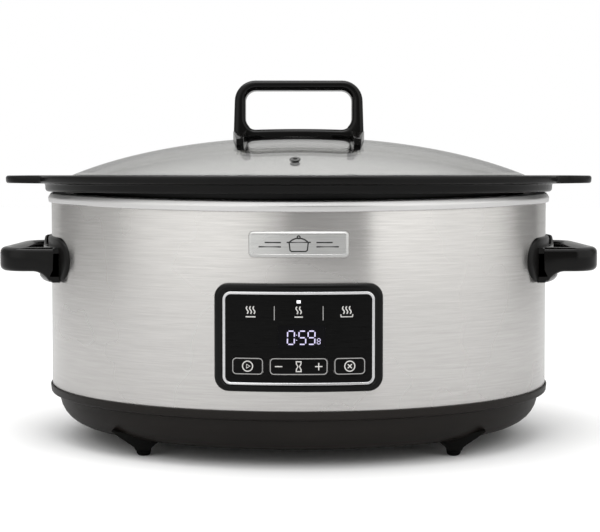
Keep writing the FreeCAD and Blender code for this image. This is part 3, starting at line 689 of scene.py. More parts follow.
@dataclass(frozen=True)
class Glowing:
    """A lamp or display that gives a little light of its own, or print with painted glow: emission that makes
    it look lit, though print is no lamp.
    """

    name: str
    color: tuple[float, float, float]
    glow: float

    def build(self) -> bpy.types.Material:
        """Makes the material.

        Returns:
            The new material.
        """
        material, nodes, surface = shader(self.name)
        uneven = nodes.add("Group", node_tree=Effects.grain)
        uneven.inputs["Patch"].default_value = 260.0
        faint = tuple(c * 0.85 for c in self.color)
        color = tint(nodes, uneven.outputs["Smudge"], faint, self.color)
        nodes.link(color, surface.inputs["Base Color"])
        # Emission: real light for the lamp and digits, painted glow for the print and key outlines.
        nodes.link(color, surface.inputs["Emission Color"])
        surface.inputs["Emission Strength"].default_value = self.glow
        surface.inputs["Roughness"].default_value = 0.5
        return material


class Finishes:
    """Every finish on the cooker, made when it is first asked for."""

    LIST = {
        "wrap": BrushedMetal(
            "brushed_wrap", (0.62, 0.605, 0.59), (0.72, 0.705, 0.69), (0.22, 0.3), 900.0, 0.85, 0.12
        ),
        "rim": BrushedMetal(
            "satin_rim", (0.74, 0.735, 0.73), (0.80, 0.795, 0.79), (0.3, 0.36), 500.0, 0.4, 0.04
        ),
        "badge": BrushedMetal(
            "badge_face", (0.6, 0.6, 0.59), (0.72, 0.72, 0.71), (0.26, 0.34), 1500.0, 0.6, 0.1
        ),
        "trim": BrushedMetal(
            "bright_trim", (0.72, 0.72, 0.73), (0.8, 0.8, 0.81), (0.18, 0.24), 700.0, 0.2, 0.02
        ),
        "well": BrushedMetal(
            "well_steel", (0.45, 0.45, 0.44), (0.55, 0.55, 0.54), (0.3, 0.42), 300.0, 0.3, 0.05
        ),
        "eyelet": Moulded(
            "eyelet_steel", (0.08, 0.08, 0.078), (0.12, 0.12, 0.116), (0.5, 0.6), 900.0, 0.05, metallic=0.4
        ),
        "screw": BrushedMetal(
            "zinc_screw", (0.5, 0.5, 0.47), (0.62, 0.62, 0.58), (0.28, 0.4), 900.0, 0.0, 0.02
        ),
        "shield": BrushedMetal(
            "shield_sheet", (0.62, 0.62, 0.62), (0.74, 0.74, 0.74), (0.25, 0.4), 200.0, 0.2, 0.05
        ),
        "base": Moulded(
            "base_plastic", (0.010, 0.0082, 0.007), (0.014, 0.0115, 0.0098), (0.36, 0.44),
            1400.0, 0.06, shine=0.2,
        ),
        "foot": Moulded(
            "foot_plastic", (0.004, 0.004, 0.004), (0.007, 0.007, 0.006), (0.4, 0.5), 1400.0, 0.05, shine=0.05
        ),
        "rubber": Moulded(
            "foot_rubber", (0.003, 0.003, 0.003), (0.005, 0.005, 0.005), (0.6, 0.75), 700.0, 0.15, shine=0.05
        ),
        "handle": Moulded(
            "handle_gloss", (0.002, 0.0018, 0.0016), (0.003, 0.0027, 0.0025), (0.12, 0.18),
            500.0, 0.02, shine=0.22,
        ),
        "plate": Moulded(
            "handle_plate", (0.003, 0.0028, 0.0025), (0.0045, 0.0042, 0.004), (0.28, 0.36),
            1100.0, 0.05, shine=0.18,
        ),
        "pot": Moulded(
            "pot_coating", (0.002, 0.0019, 0.0017), (0.004, 0.0037, 0.0034), (0.2, 0.28),
            650.0, 0.06, shine=0.2,
        ),
        "bezel": Moulded(
            "bezel_gloss", (0.002, 0.002, 0.0019), (0.003, 0.003, 0.0028), (0.14, 0.2),
            500.0, 0.02, shine=0.18,
        ),
        "window": Moulded(
            "window_smoke", (0.003, 0.003, 0.0035), (0.005, 0.005, 0.006), (0.1, 0.14), 500.0, 0.0, shine=0.06
        ),
        "sleeve": Moulded("heater_sleeve", (0.5, 0.46, 0.37), (0.66, 0.62, 0.52), (0.8, 0.9), 420.0, 0.6),
        "ceramic": Moulded("sensor_ceramic", (0.75, 0.74, 0.7), (0.85, 0.84, 0.8), (0.4, 0.5), 800.0, 0.1),
        "silicone": Moulded(
            "washer_silicone", (0.03, 0.03, 0.03), (0.05, 0.05, 0.05), (0.5, 0.6), 900.0, 0.1
        ),
        "board": Moulded(
            "circuit_board", (0.012, 0.075, 0.03), (0.02, 0.1, 0.045), (0.35, 0.45), 600.0, 0.1, 0.3
        ),
        "relay": Moulded("relay_case", (0.02, 0.05, 0.2), (0.03, 0.07, 0.26), (0.4, 0.5), 900.0, 0.1),
        "capacitor": Moulded(
            "capacitor_case", (0.5, 0.33, 0.04), (0.6, 0.42, 0.06), (0.35, 0.45), 900.0, 0.05
        ),
        "terminal": Moulded("terminal_plastic", (0.6, 0.58, 0.5), (0.7, 0.68, 0.6), (0.5, 0.6), 900.0, 0.1),
        "dark_part": Moulded(
            "switch_plastic", (0.02, 0.02, 0.02), (0.035, 0.035, 0.035), (0.45, 0.55), 900.0, 0.1
        ),
        "glass": ClearGlass("lid_glass"),
        # The print and key outline finishes have painted glow: emission that makes the print look lit, though
        # it is no lamp.
        "print": Glowing("pale_print_painted_glow", (0.62, 0.61, 0.59), 0.25),
        "outline": Glowing("key_outline_painted_glow", (0.36, 0.355, 0.35), 0.12),
        "digits": Glowing("lit_digits", (0.60, 0.56, 0.80), 0.55),
        "lamp": Glowing("lit_lamp", (0.95, 0.95, 1.0), 1.4),
        "badge_mark": Moulded(
            "badge_enamel", (0.012, 0.012, 0.012), (0.02, 0.02, 0.02), (0.3, 0.4), 900.0, 0.0
        ),
    }
    made: dict[str, bpy.types.Material] = {}

    @classmethod
    def get(cls, key: str) -> bpy.types.Material:
        """Returns the material of that finish."""
        if key not in cls.made:
            cls.made[key] = cls.LIST[key].build()
        return cls.made[key]


@dataclass(frozen=True)
class FasciaFinish:
    """Black panel film with fine level lines under a clear gloss."""

    name: str = "fascia_black"
    shine: float = 0.08

    def build(self) -> bpy.types.Material:
        """Makes the material.

        Returns:
            The new material.
        """
        material, nodes, surface = shader(self.name)
        lines = nodes.add("Group", node_tree=Effects.brushing)
        lines.inputs["Density"].default_value = 2200.0
        color = tint(nodes, lines.outputs["Scratch"], (0.0015, 0.0015, 0.0015), (0.006, 0.006, 0.006))
        nodes.link(color, surface.inputs["Base Color"])
        nodes.link(spread(nodes, lines.outputs["Scratch"], 0.26, 0.4), surface.inputs["Roughness"])
        nodes.link(bumped(nodes, lines.outputs["Scratch"], 0.12, 0.0002), surface.inputs["Normal"])
        surface.inputs["Specular IOR Level"].default_value = self.shine
        return material


Finishes.LIST["fascia"] = FasciaFinish()


# ------------------------------------------------------------------ pieces


def add_piece(
    name: str,
    bm: bmesh.types.BMesh,
    finish: str,
    body: Body,
    replaces: Sequence[str] = (),
    sharp: float = 32.0,
) -> bpy.types.Object:
    """Turns a shaped mesh into a piece of the cooker.

    Args:
        name: The piece's name.
        bm: Its mesh, which is freed.
        finish: Its finish, as listed in Finishes.
        body: The body that it moves with.
        replaces: CAD nodes that it stands for.
        sharp: Edges with a larger angle than this, in degrees, stay crisp.

    Returns:
        The new object.
    """
    mesh = bpy.data.meshes.new(name)
    bm.to_mesh(mesh)
    bm.free()
    mesh.shade_smooth()
    mesh.set_sharp_from_angle(angle=math.radians(sharp))
    mesh.materials.append(Finishes.get(finish))
    piece = bpy.data.objects.new(name, mesh)
    bpy.context.scene.collection.objects.link(piece)
    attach(piece, body.value)
    if replaces:
        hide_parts(*replaces)
    LOG.info("%s: %d faces on %s", name, len(mesh.polygons), body.value)
    return piece


@dataclass
class FrontSurface:
    """The curved front and sides of the steel wrap, which flat pieces are laid on."""

    half_width: float = 0.1845

    def depth(self, x: float) -> float:
        """Returns how far in front of the centre the wrap is at x."""
        return self.half_width * OVAL_RATIO * math.sqrt(max(1 - (x / self.half_width) ** 2, 0))

    def front(self, u: float, v: float, height: float) -> Vector:
        """Places a flat point on the front."""
        return Vector((u, -self.depth(u) - height, v))

    def side(self, sign: int) -> Placer:
        """Returns a placer for the right (1) or left (-1) side, with u running along Y."""

        def place(u: float, v: float, height: float) -> Vector:
            """Lays a flat point on that side."""
            across = self.half_width * math.sqrt(max(1 - (u / (self.half_width * OVAL_RATIO)) ** 2, 0))
            return Vector((sign * (across + height), u, v))

        return place


WRAP = FrontSurface()


@dataclass
class HeatingBase:
    """The tub with its feet, the steel wrap and the rim ring."""

    tub_radius: float = 0.179
    tub_round: float = 0.0216
    tub_floor: float = 0.0105
    tub_wall: float = 0.0026
    band_radius: float = 0.1859
    band_low: float = 0.0328
    band_high: float = 0.0394
    wrap_radius: float = 0.1845
    wrap_low: float = 0.038
    wrap_high: float = 0.1745
    rim_radius: float = 0.187
    rim_inner: float = 0.1745
    rim_top: float = 0.1807
    rim_height: float = 0.0072
    rim_dip: float = 0.0039
    foot_x: float = 0.107
    foot_y: float = 0.088
    boss_radius: float = 0.0105
    gland_height: float = 0.024

    def build(self) -> None:
        """Builds every piece of the base."""
        self.build_tub()
        self.build_wrap()
        self.build_rim()
        self.build_feet()
        self.build_gland()

    def build_tub(self) -> None:
        """Builds the moulded bowl with its band and the groove under the band."""
        wall, floor = self.tub_radius, self.tub_floor
        inner = wall - self.tub_wall
        outline = rounded(
            [
                (0, floor, 0),
                (wall, floor, self.tub_round),
                (wall, self.band_low - 0.0004, 0.0006),
                (wall + 0.0026, self.band_low - 0.0002, 0.0008),
                (self.band_radius - 0.0006, self.band_low + 0.0012, 0.0016),
                (self.band_radius, self.band_high, 0.0007),
                (self.wrap_radius + 0.0003, self.band_high, 0.0002),
                (self.wrap_radius + 0.0003, self.wrap_low - 0.0003, 0),
                (inner, self.wrap_low - 0.0003, 0),
                (inner, floor + self.tub_wall, self.tub_round - self.tub_wall),
                (0, floor + self.tub_wall, 0),
            ],
            closed=False,
            steps=8,
        )
        boss = lathe(rounded(self.boss_outline(), True, 3), True, 48)
        for vert in boss.verts:
            x, y, z = vert.co.x, vert.co.y / OVAL_RATIO, vert.co.z
            vert.co = Vector((x, z, self.gland_height - y))
        tidy(boss)
        tub = joined(lathe(outline, False), boss)
        add_piece("base_tub_moulding", tub, "base", Body.HOUSING, ["base_tub"], 24)

    def boss_outline(self) -> list[tuple[float, float, float]]:
        """Shapes the section of the boss round the gland.

        Returns:
            Corners as (radius, distance back, rounding).
        """
        inner, outer = self.boss_radius - 0.0042, self.boss_radius
        back = self.tub_radius * OVAL_RATIO
        front, rear = back - 0.009, back - 0.0006
        return [(inner, front, 0), (outer, front, 0.0006), (outer, rear, 0), (inner, rear, 0)]

    def build_wrap(self) -> None:
        """Builds the steel wrap, with its seam at the back."""
        r, wall = self.wrap_radius, 0.0008
        outline = rounded(
            [
                (r - wall, self.wrap_low, 0),
                (r, self.wrap_low, 0.0003),
                (r, self.wrap_high, 0.0003),
                (r - wall, self.wrap_high, 0),
            ],
            steps=2,
        )
        bm = lathe(outline)
        for vert in bm.verts:
            if vert.co.y > 0 and abs(vert.co.x - 0.0012) < 0.0012:
                vert.co.y -= 0.0004
        add_piece("steel_wrap", bm, "wrap", Body.HOUSING, ["outer_shell"])

    def build_rim(self) -> None:
        """Builds the rim ring, which dips at the front and back."""
        top, low = self.rim_top, self.rim_top - self.rim_height
        skirt, web = self.wrap_radius + 0.0003, self.rim_top - 0.002
        outline = rounded(
            [
                (self.rim_inner, web, 0),
                (skirt, web, 0.0003),
                (skirt, low, 0.0006),
                (self.rim_radius - 0.0004, low, 0.0008),
                (self.rim_radius, top - 0.0036, 0.002),
                (self.rim_radius - 0.0022, top, 0.0024),
                (self.rim_inner, top, 0.0006),
            ],
            steps=6,
        )
        bm = lathe(outline)
        arc_radius = self.rim_radius**2 / (2 * self.rim_dip)
        for vert in bm.verts:
            vert.co.z += vert.co.x**2 / (2 * arc_radius) - self.rim_dip
        add_piece("rim_band", bm, "rim", Body.HOUSING, ["rim_ring"], 40)

    def build_feet(self) -> None:
        """Builds the four wedge feet and their rubber tips."""
        tips = []
        for label, sx, sy in (
            ("front_left", -1, -1),
            ("front_right", 1, -1),
            ("rear_left", -1, 1),
            ("rear_right", 1, 1),
        ):
            centre = Vector((sx * self.foot_x, sy * self.foot_y, 0))
            add_piece(
                f"foot_wedge_{label}",
                self.foot(centre, sx),
                "foot",
                Body.HOUSING,
                [f"foot_{label}"],
            )
            tips.append(self.tip(centre))
        add_piece("rubber_tips", joined(*tips), "rubber", Body.HOUSING, ["foot_tips"], 50)

    def foot(self, centre: Vector, sign: int) -> bmesh.types.BMesh:
        """Shapes one foot: a wedge that widens up to the tub's rounded edge.

        Args:
            centre: Point on the worktop under the foot.
            sign: 1 where the tub rises towards +X.

        Returns:
            The foot's mesh.
        """
        corners = [
            (-0.005, 0.0042, 0.0004),
            (0.005, 0.0042, 0.0004),
            (0.006, 0.0065, 0.002),
            (0.0235, 0.0186, 0.0006),
            (-0.0125, 0.0118, 0.0006),
            (-0.006, 0.0065, 0.002),
        ]
        bm = bmesh.new()
        points = [Vector((sign * u, -0.006, v)) for u, v in rounded(corners, True, 3)]
        face = bmesh.ops.contextual_create(bm, geom=ring(bm, points))["faces"]
        grown = bmesh.ops.extrude_face_region(bm, geom=face)["geom"]
        moved = [item for item in grown if isinstance(item, bmesh.types.BMVert)]
        bmesh.ops.translate(bm, vec=(0, 0.012, 0), verts=moved)
        rims = [e for e in bm.edges if abs(e.verts[0].co.y - e.verts[1].co.y) < 1e-6]
        soften(bm, rims, 0.0012, 3)
        tidy(bm)
        bmesh.ops.translate(bm, vec=centre, verts=bm.verts)
        return bm

    def tip(self, centre: Vector) -> bmesh.types.BMesh:
        """Shapes one rubber tip with a flat sole and a rounded side.

        Args:
            centre: Point on the worktop under the tip.

        Returns:
            The tip's mesh.
        """
        outline = rounded([(0, 0, 0), (0.005, 0, 0.0026), (0.005, 0.0042, 0.0008), (0, 0.0042, 0)], False, 5)
        bm = lathe(outline, False, 32)
        bmesh.ops.scale(bm, vec=(1, 1 / OVAL_RATIO, 1), verts=bm.verts)
        bmesh.ops.translate(bm, vec=centre, verts=bm.verts)
        return bm

    def build_gland(self) -> None:
        """Builds the cord gland in the rear of the tub."""
        low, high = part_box("cord_gland")
        centre = Vector((0, low[1], (low[2] + high[2]) / 2))
        length, bore = high[1] - low[1], 0.0036
        outline = rounded(
            [
                (bore, 0, 0.0004),
                (bore + 0.0021, 0, 0.0004),
                (bore + 0.0021, length - 0.003, 0),
                (bore + 0.0046, length - 0.003, 0.0006),
                (bore + 0.0046, length, 0.0012),
                (bore, length, 0.0008),
            ],
            steps=4,
        )
        bm = lathe(outline, True, 48)
        for vert in bm.verts:
            x, y, z = vert.co.x, vert.co.y / OVAL_RATIO, vert.co.z
            vert.co = centre + Vector((x, z, -y))
        tidy(bm)
        add_piece("cord_bushing", bm, "rubber", Body.HOUSING, ["cord_gland"])


@dataclass
class CookingPot:
    """The lift-out pot with its flange, bead, lid recess and carrying tabs."""

    bottom: float = 0.0486
    floor: float = 0.053
    foot: float = 0.1626
    mouth: float = 0.1684
    wall: float = 0.003
    lip_low: float = 0.1811
    lip: float = 0.1892
    lip_thick: float = 0.0046
    flange: float = 0.198
    flange_top: float = 0.1929
    flange_thick: float = 0.0054
    ledge: float = 0.1725
    ledge_top: float = 0.1896
    tab_reach: float = 0.213
    tab_half: float = 0.052
    tab_corner: float = 0.02

    def build(self) -> None:
        """Builds the pot as one casting."""
        under = self.flange_top - self.flange_thick
        outline = rounded(
            [
                (0, self.bottom, 0),
                (self.foot, self.bottom, 0.018),
                (self.mouth, under, 0.001),
                (self.lip - self.lip_thick, under, 0.0008),
                (self.lip - self.lip_thick, self.lip_low, 0.0012),
                (self.lip - 0.0004, self.lip_low, 0.0022),
                (self.lip, under - 0.0006, 0.0012),
                (self.flange - 0.0004, under, 0.0016),
                (self.flange, self.flange_top, 0.0018),
                (self.ledge, self.flange_top, 0.0012),
                (self.ledge - 0.0002, self.ledge_top, 0.0004),
                (self.mouth - self.wall, self.ledge_top, 0.0012),
                (self.foot - self.wall, self.floor, 0.015),
                (0, self.floor, 0),
            ],
            closed=False,
            steps=6,
        )
        bm = lathe(outline, False, 512)
        for vert in bm.verts:
            self.draw_tab(vert)
        add_piece("pot_casting", bm, "pot", Body.POT, ["cooking_pot"], 40)

    def draw_tab(self, vert: bmesh.types.BMVert) -> None:
        """Draws a point of the flange's edge out to the carrying tab.

        Args:
            vert: The point, which is moved if it is on the edge.
        """
        radius = math.hypot(vert.co.x, vert.co.y / OVAL_RATIO)
        inset = self.flange - radius
        if inset > 0.003:
            return
        reach = math.hypot(vert.co.x, vert.co.y)
        aim = Vector((vert.co.x / reach, vert.co.y / reach))
        edge = self.flange / math.hypot(aim.x, aim.y / OVAL_RATIO)
        tab = self.tab_edge(abs(aim.x), abs(aim.y))
        soft = 0.004
        outer = (edge + tab + math.hypot(edge - tab, soft)) / 2
        if outer - edge < 0.0004:
            return
        outer = min(outer, self.tab_reach / max(abs(aim.x), 1e-6))
        vert.co.x, vert.co.y = aim.x * (outer - inset), aim.y * (outer - inset)

    def tab_edge(self, c: float, s: float) -> float:
        """Finds how far the tab reaches along a direction.

        Args:
            c: Cosine of the direction's angle to X.
            s: Its sine.

        Returns:
            The distance from the pot's axis.
        """
        straight = self.tab_reach / c if c > 1e-6 else math.inf
        if straight * s <= self.tab_half - self.tab_corner:
            return straight
        side = self.tab_half / s if s > 1e-6 else math.inf
        if side * c <= self.tab_reach - self.tab_corner:
            return side
        centre = Vector((self.tab_reach - self.tab_corner, self.tab_half - self.tab_corner))
        along = centre.dot(Vector((c, s)))
        return along + math.sqrt(max(along**2 - centre.length_squared + self.tab_corner**2, 0))


@dataclass
class Lid:
    """The glass dome with its loop handle and steam vent."""

    radius: float = 0.1694
    seat: float = 0.1899
    dome_width: float = 0.23
    dome_rise: float = 0.088
    dome_top: float = 0.2216
    glass: float = 0.004
    knob_half: float = 0.0478
    knob_top: float = 0.2637
    knob_depth: float = 0.02
    hole_half: float = 0.0398
    hole_low: float = 0.2276
    hole_high: float = 0.2563
    foot_reach: float = 0.062
    foot_height: float = 0.006

    def surface(self, x: float, y: float) -> float:
        """Returns the height of the glass's outside at a point."""
        out = (x / self.dome_width) ** 2 + (y / (self.dome_width * OVAL_RATIO)) ** 2
        return self.dome_top - self.dome_rise * (1 - math.sqrt(max(1 - out, 0)))

    def build(self) -> None:
        """Builds the glass, the handle and the eyelet."""
        self.build_glass()
        self.build_handle()
        self.build_eyelet()

    def build_glass(self) -> None:
        """Builds the dome with a ground edge."""
        steps = 48
        reach = [self.radius * i / steps for i in range(steps)]
        top = [(r, self.surface(r, 0)) for r in reach]
        edge = rounded(
            [
                (reach[-1], self.surface(reach[-1], 0), 0),
                (self.radius, self.surface(self.radius, 0), 0.0012),
                (self.radius, self.seat, 0.0008),
                (self.radius - 0.0022, self.seat, 0),
            ],
            closed=False,
            steps=5,
        )[1:]
        under = [(r, self.surface(r, 0) - self.glass) for r in reversed(reach) if r < self.radius - 0.003]
        add_piece(
            "glass_dome",
            lathe(top + edge + under, False, 320),
            "glass",
            Body.LID,
            ["lid_glass"],
            60,
        )

    def build_handle(self) -> None:
        """Builds the loop and its two long feet."""
        parts = [self.loop()] + [self.foot(sign) for sign in (-1, 1)]
        add_piece("lid_loop", joined(*parts), "handle", Body.LID, ["lid_handle"], 50)

    def loop(self) -> bmesh.types.BMesh:
        """Shapes the upright loop with rounded edges, standing on the glass.

        Returns:
            The loop's mesh.
        """
        low = self.surface(self.knob_half, 0) - 0.002
        outer = rounded(
            [
                (-self.knob_half, low, 0.0005),
                (self.knob_half, low, 0.0005),
                (self.knob_half, self.knob_top, 0.0155),
                (-self.knob_half, self.knob_top, 0.0155),
            ],
            steps=10,
        )
        inner = rounded(
            [
                (-self.hole_half, self.hole_low, 0.008),
                (self.hole_half, self.hole_low, 0.008),
                (self.hole_half, self.hole_high, 0.008),
                (-self.hole_half, self.hole_high, 0.008),
            ],
            steps=10,
        )
        bm = bmesh.new()
        half = self.knob_depth / 2
        edges = ring(bm, [Vector((u, -half, v)) for u, v in outer])
        edges = edges + ring(bm, [Vector((u, -half, v)) for u, v in inner])
        faces = bmesh.ops.bridge_loops(bm, edges=edges)["faces"]
        grown = bmesh.ops.extrude_face_region(bm, geom=faces)["geom"]
        moved = [item for item in grown if isinstance(item, bmesh.types.BMVert)]
        bmesh.ops.translate(bm, vec=(0, self.knob_depth, 0), verts=moved)
        bmesh.ops.recalc_face_normals(bm, faces=bm.faces)
        folds = [e for e in bm.edges if len(e.link_faces) == 2 and e.calc_face_angle() > 1.0]
        rims = [e for e in folds if self.is_rim(e)]
        soften(bm, rims, 0.0032, 5)
        slice_along(bm, 0, -0.036, 0.036, 0.006)
        for vert in bm.verts:
            vert.co.z = max(vert.co.z, self.surface(vert.co.x, vert.co.y) + 0.0002)
            drop = (vert.co.x / self.hole_half) ** 2
            if vert.co.z < self.hole_low + 0.002 and abs(vert.co.x) < self.hole_half:
                vert.co.z -= 0.0008 * drop
            widen = min(max(0.0, 1 - (vert.co.z - 0.219) / 0.018), 1.0)
            if abs(vert.co.x) > self.knob_half - 0.0034:
                vert.co.x += math.copysign(0.001 * widen**2, vert.co.x)
        tidy(bm)
        return bm

    def is_rim(self, edge: bmesh.types.BMEdge) -> bool:
        """Tells whether an edge lies on the loop's front or back outline.

        Args:
            edge: The edge in question.

        Returns:
            Whether both its ends are on the outline's plane.
        """
        first, second = (abs(v.co.y) for v in edge.verts)
        half = self.knob_depth / 2
        return abs(first - half) < 1e-6 and abs(second - half) < 1e-6

    def foot(self, sign: int) -> bmesh.types.BMesh:
        """Shapes one long foot that runs down the glass to the front and back.

        Args:
            sign: 1 for the foot towards +X, -1 for the other.

        Returns:
            The foot's mesh.
        """
        bm = bmesh.new()
        bmesh.ops.create_cube(bm, size=1)
        slice_along(bm, 1, -0.49, 0.49, 0.035)
        uprights = [e for e in bm.edges if all(abs(abs(v.co.y) - 0.5) < 1e-6 for v in e.verts)]
        ends = [e for e in uprights if abs(e.verts[0].co.x - e.verts[1].co.x) < 1e-6]
        soften(bm, ends, 0.04, 4)
        top = [e for e in bm.edges if min(v.co.z for v in e.verts) > 0.49 and len(e.link_faces) == 2]
        lip = [e for e in top if e.calc_face_angle() > 1.0]
        soften(bm, lip, 0.2, 4)
        for vert in bm.verts:
            along = vert.co.y * 2
            y = along * self.foot_reach
            near = self.knob_half - 0.0098 + 0.001 * abs(along)
            far = self.knob_half + 0.001 - 0.0048 * along**2
            x = sign * (near + (far - near) * (vert.co.x * sign + 0.5))
            height = self.foot_height * (1 - 0.25 * along**4)
            vert.co = Vector((x, y, self.surface(x, y) + 0.0002 + (vert.co.z + 0.5) * height))
        tidy(bm)
        return bm

    def build_eyelet(self) -> None:
        """Builds the vent's eyelet, square to the glass."""
        side, front, tilt = -0.0024, 0.105, math.radians(21.2)
        base = Vector((side, -front, self.surface(0, -front)))
        outline = rounded(
            [
                (0.0016, -0.0054, 0.0002),
                (0.0033, -0.0054, 0.0003),
                (0.0033, -0.0044, 0.0002),
                (0.0025, -0.0040, 0),
                (0.0025, 0.0002, 0),
                (0.0038, 0.0002, 0.0002),
                (0.0037, 0.0010, 0.0005),
                (0.0016, 0.0009, 0.0004),
            ],
            steps=3,
        )
        bm = lathe(outline, True, 40)
        for vert in bm.verts:
            x, y, z = vert.co.x, vert.co.y / OVAL_RATIO, vert.co.z
            level, up = y * math.cos(tilt) - z * math.sin(tilt), y * math.sin(tilt) + z * math.cos(tilt)
            vert.co = base + Vector((x, level, up))
        add_piece("steam_eyelet", bm, "eyelet", Body.LID, ["vent_eyelet"])


@dataclass
class SideHandle:
    """A loop grip with a flared root, and the pad behind it."""

    sign: int
    label: str
    reach: float = 0.2164
    half: float = 0.057
    arm: float = 0.010
    corner: float = 0.020
    low: float = 0.1244
    high: float = 0.1416
    root_low: float = 0.1166
    root_high: float = 0.1486
    pad_radius: float = 0.1871
    pad_half: float = 0.068
    back: float = 0.0034

    def build(self) -> None:
        """Builds the grip and the pad."""
        grip = joined(self.loop(), self.root())
        add_piece(f"grip_{self.label}", grip, "handle", Body.HOUSING, [f"handle_{self.label}"], 50)
        self.build_pad()

    def offset(self, x: float, y: float) -> float:
        """Returns how far out from the pad's face a point is, measured along X at the middle."""
        return math.hypot(abs(x), y / OVAL_RATIO) - self.pad_radius

    def underside(self, away: float) -> float:
        """Returns the height of the grip's underside at a distance from the pad."""
        t = min(max((away - 0.0035) / 0.0115, 0.0), 1.0)
        return self.low - (self.low - self.root_low) * (1 - t) ** 2

    def loop(self) -> bmesh.types.BMesh:
        """Shapes the two arms and the bar as one swept piece.

        Returns:
            The swept mesh.
        """
        side, bar = self.half - self.arm / 2, self.reach - self.arm / 2
        turn = self.corner - self.arm / 2
        start = 0.1685
        straight = [start + (bar - turn - start) * i / 12 for i in range(12)]
        plan = [(x, -side) for x in straight]
        plan += arc((bar - turn, -side + turn), turn, -90, 0, 10)
        plan += [(bar, -side + turn + (2 * side - 2 * turn) * i / 12) for i in range(1, 12)]
        plan += arc((bar - turn, side - turn), turn, 0, 90, 10)
        plan += [(x, side) for x in reversed(straight)]
        path = [Vector((self.sign * x, y, 0)) for x, y in plan]

        def across(i: int) -> Vector:
            """Returns the level direction square to the path."""
            ahead, behind = path[min(i + 1, len(path) - 1)], path[max(i - 1, 0)]
            along = (ahead - behind).normalized()
            return Vector((along.y, -along.x, 0))

        def section(i: int, centre: Vector) -> list[Point]:
            """Returns the bar's section, cut off above the flare under it."""
            below = self.underside(self.offset(centre.x, centre.y))
            tall = self.high - below
            return [(a, below + tall / 2 + b) for a, b in rounded_box(self.arm, tall, 0.0042, steps=5)]

        return sweep(path, section, across)

    def root(self) -> bmesh.types.BMesh:
        """Shapes the bar along the pad, with its flare below and its hump above.

        Returns:
            The swept mesh.
        """
        count = 56
        path = []
        for i in range(count + 1):
            y = -self.half + 2 * self.half * i / count
            x = self.pad_radius * math.sqrt(1 - (y / (self.pad_radius * OVAL_RATIO)) ** 2)
            path.append(Vector((self.sign * x, y, 0)))

        def across(i: int) -> Vector:
            """Returns the direction out from the wrap."""
            return Vector((self.sign, 0, 0))

        def section(i: int, centre: Vector) -> list[Point]:
            """Shapes the root's section, which is highest at the middle.

            Args:
                i: The station's number; not used.
                centre: The station's place.

            Returns:
                The section's points.
            """
            rise = 0.5 + 0.5 * math.cos(min(abs(centre.y) / 0.026, 1.0) * math.pi)
            top = self.high + (self.root_high - self.high) * min(rise * 1.6, 1.0)
            corners = [
                (-0.0012, self.root_low, 0),
                (self.back + 0.0008, self.root_low, 0.0016),
                (self.back + 0.0034, self.root_low + 0.003, 0.002),
                (self.back + 0.0006, self.low + 0.001, 0.003),
                (self.back, self.high - 0.001, 0.001),
                (self.back - 0.0006, top, 0.0022),
                (-0.0012, top, 0),
            ]
            return rounded(corners, True, 4)

        return sweep(path, section, across)

    def build_pad(self) -> None:
        """Builds the round-ended pad that follows the wrap."""
        tall = self.root_high - self.root_low
        middle = (self.root_high + self.root_low) / 2

        def outline(inset: float) -> list[Point]:
            """Returns the pad's plan for an inset."""
            return rounded_box(
                2 * (self.pad_half - inset), tall - 2 * inset, tall / 2 - inset, (0, middle), 12, 26
            )

        section = [(0.0, 0.0001), (0.0, 0.0010), (0.0004, 0.0018), (0.0012, 0.0024), (0.0022, 0.0026)]
        bm = plate(outline, section, WRAP.side(self.sign))
        tidy(bm)
        name = f"handle_plate_{self.label}"
        add_piece(f"handle_pad_{self.label}", bm, "plate", Body.HOUSING, [name])


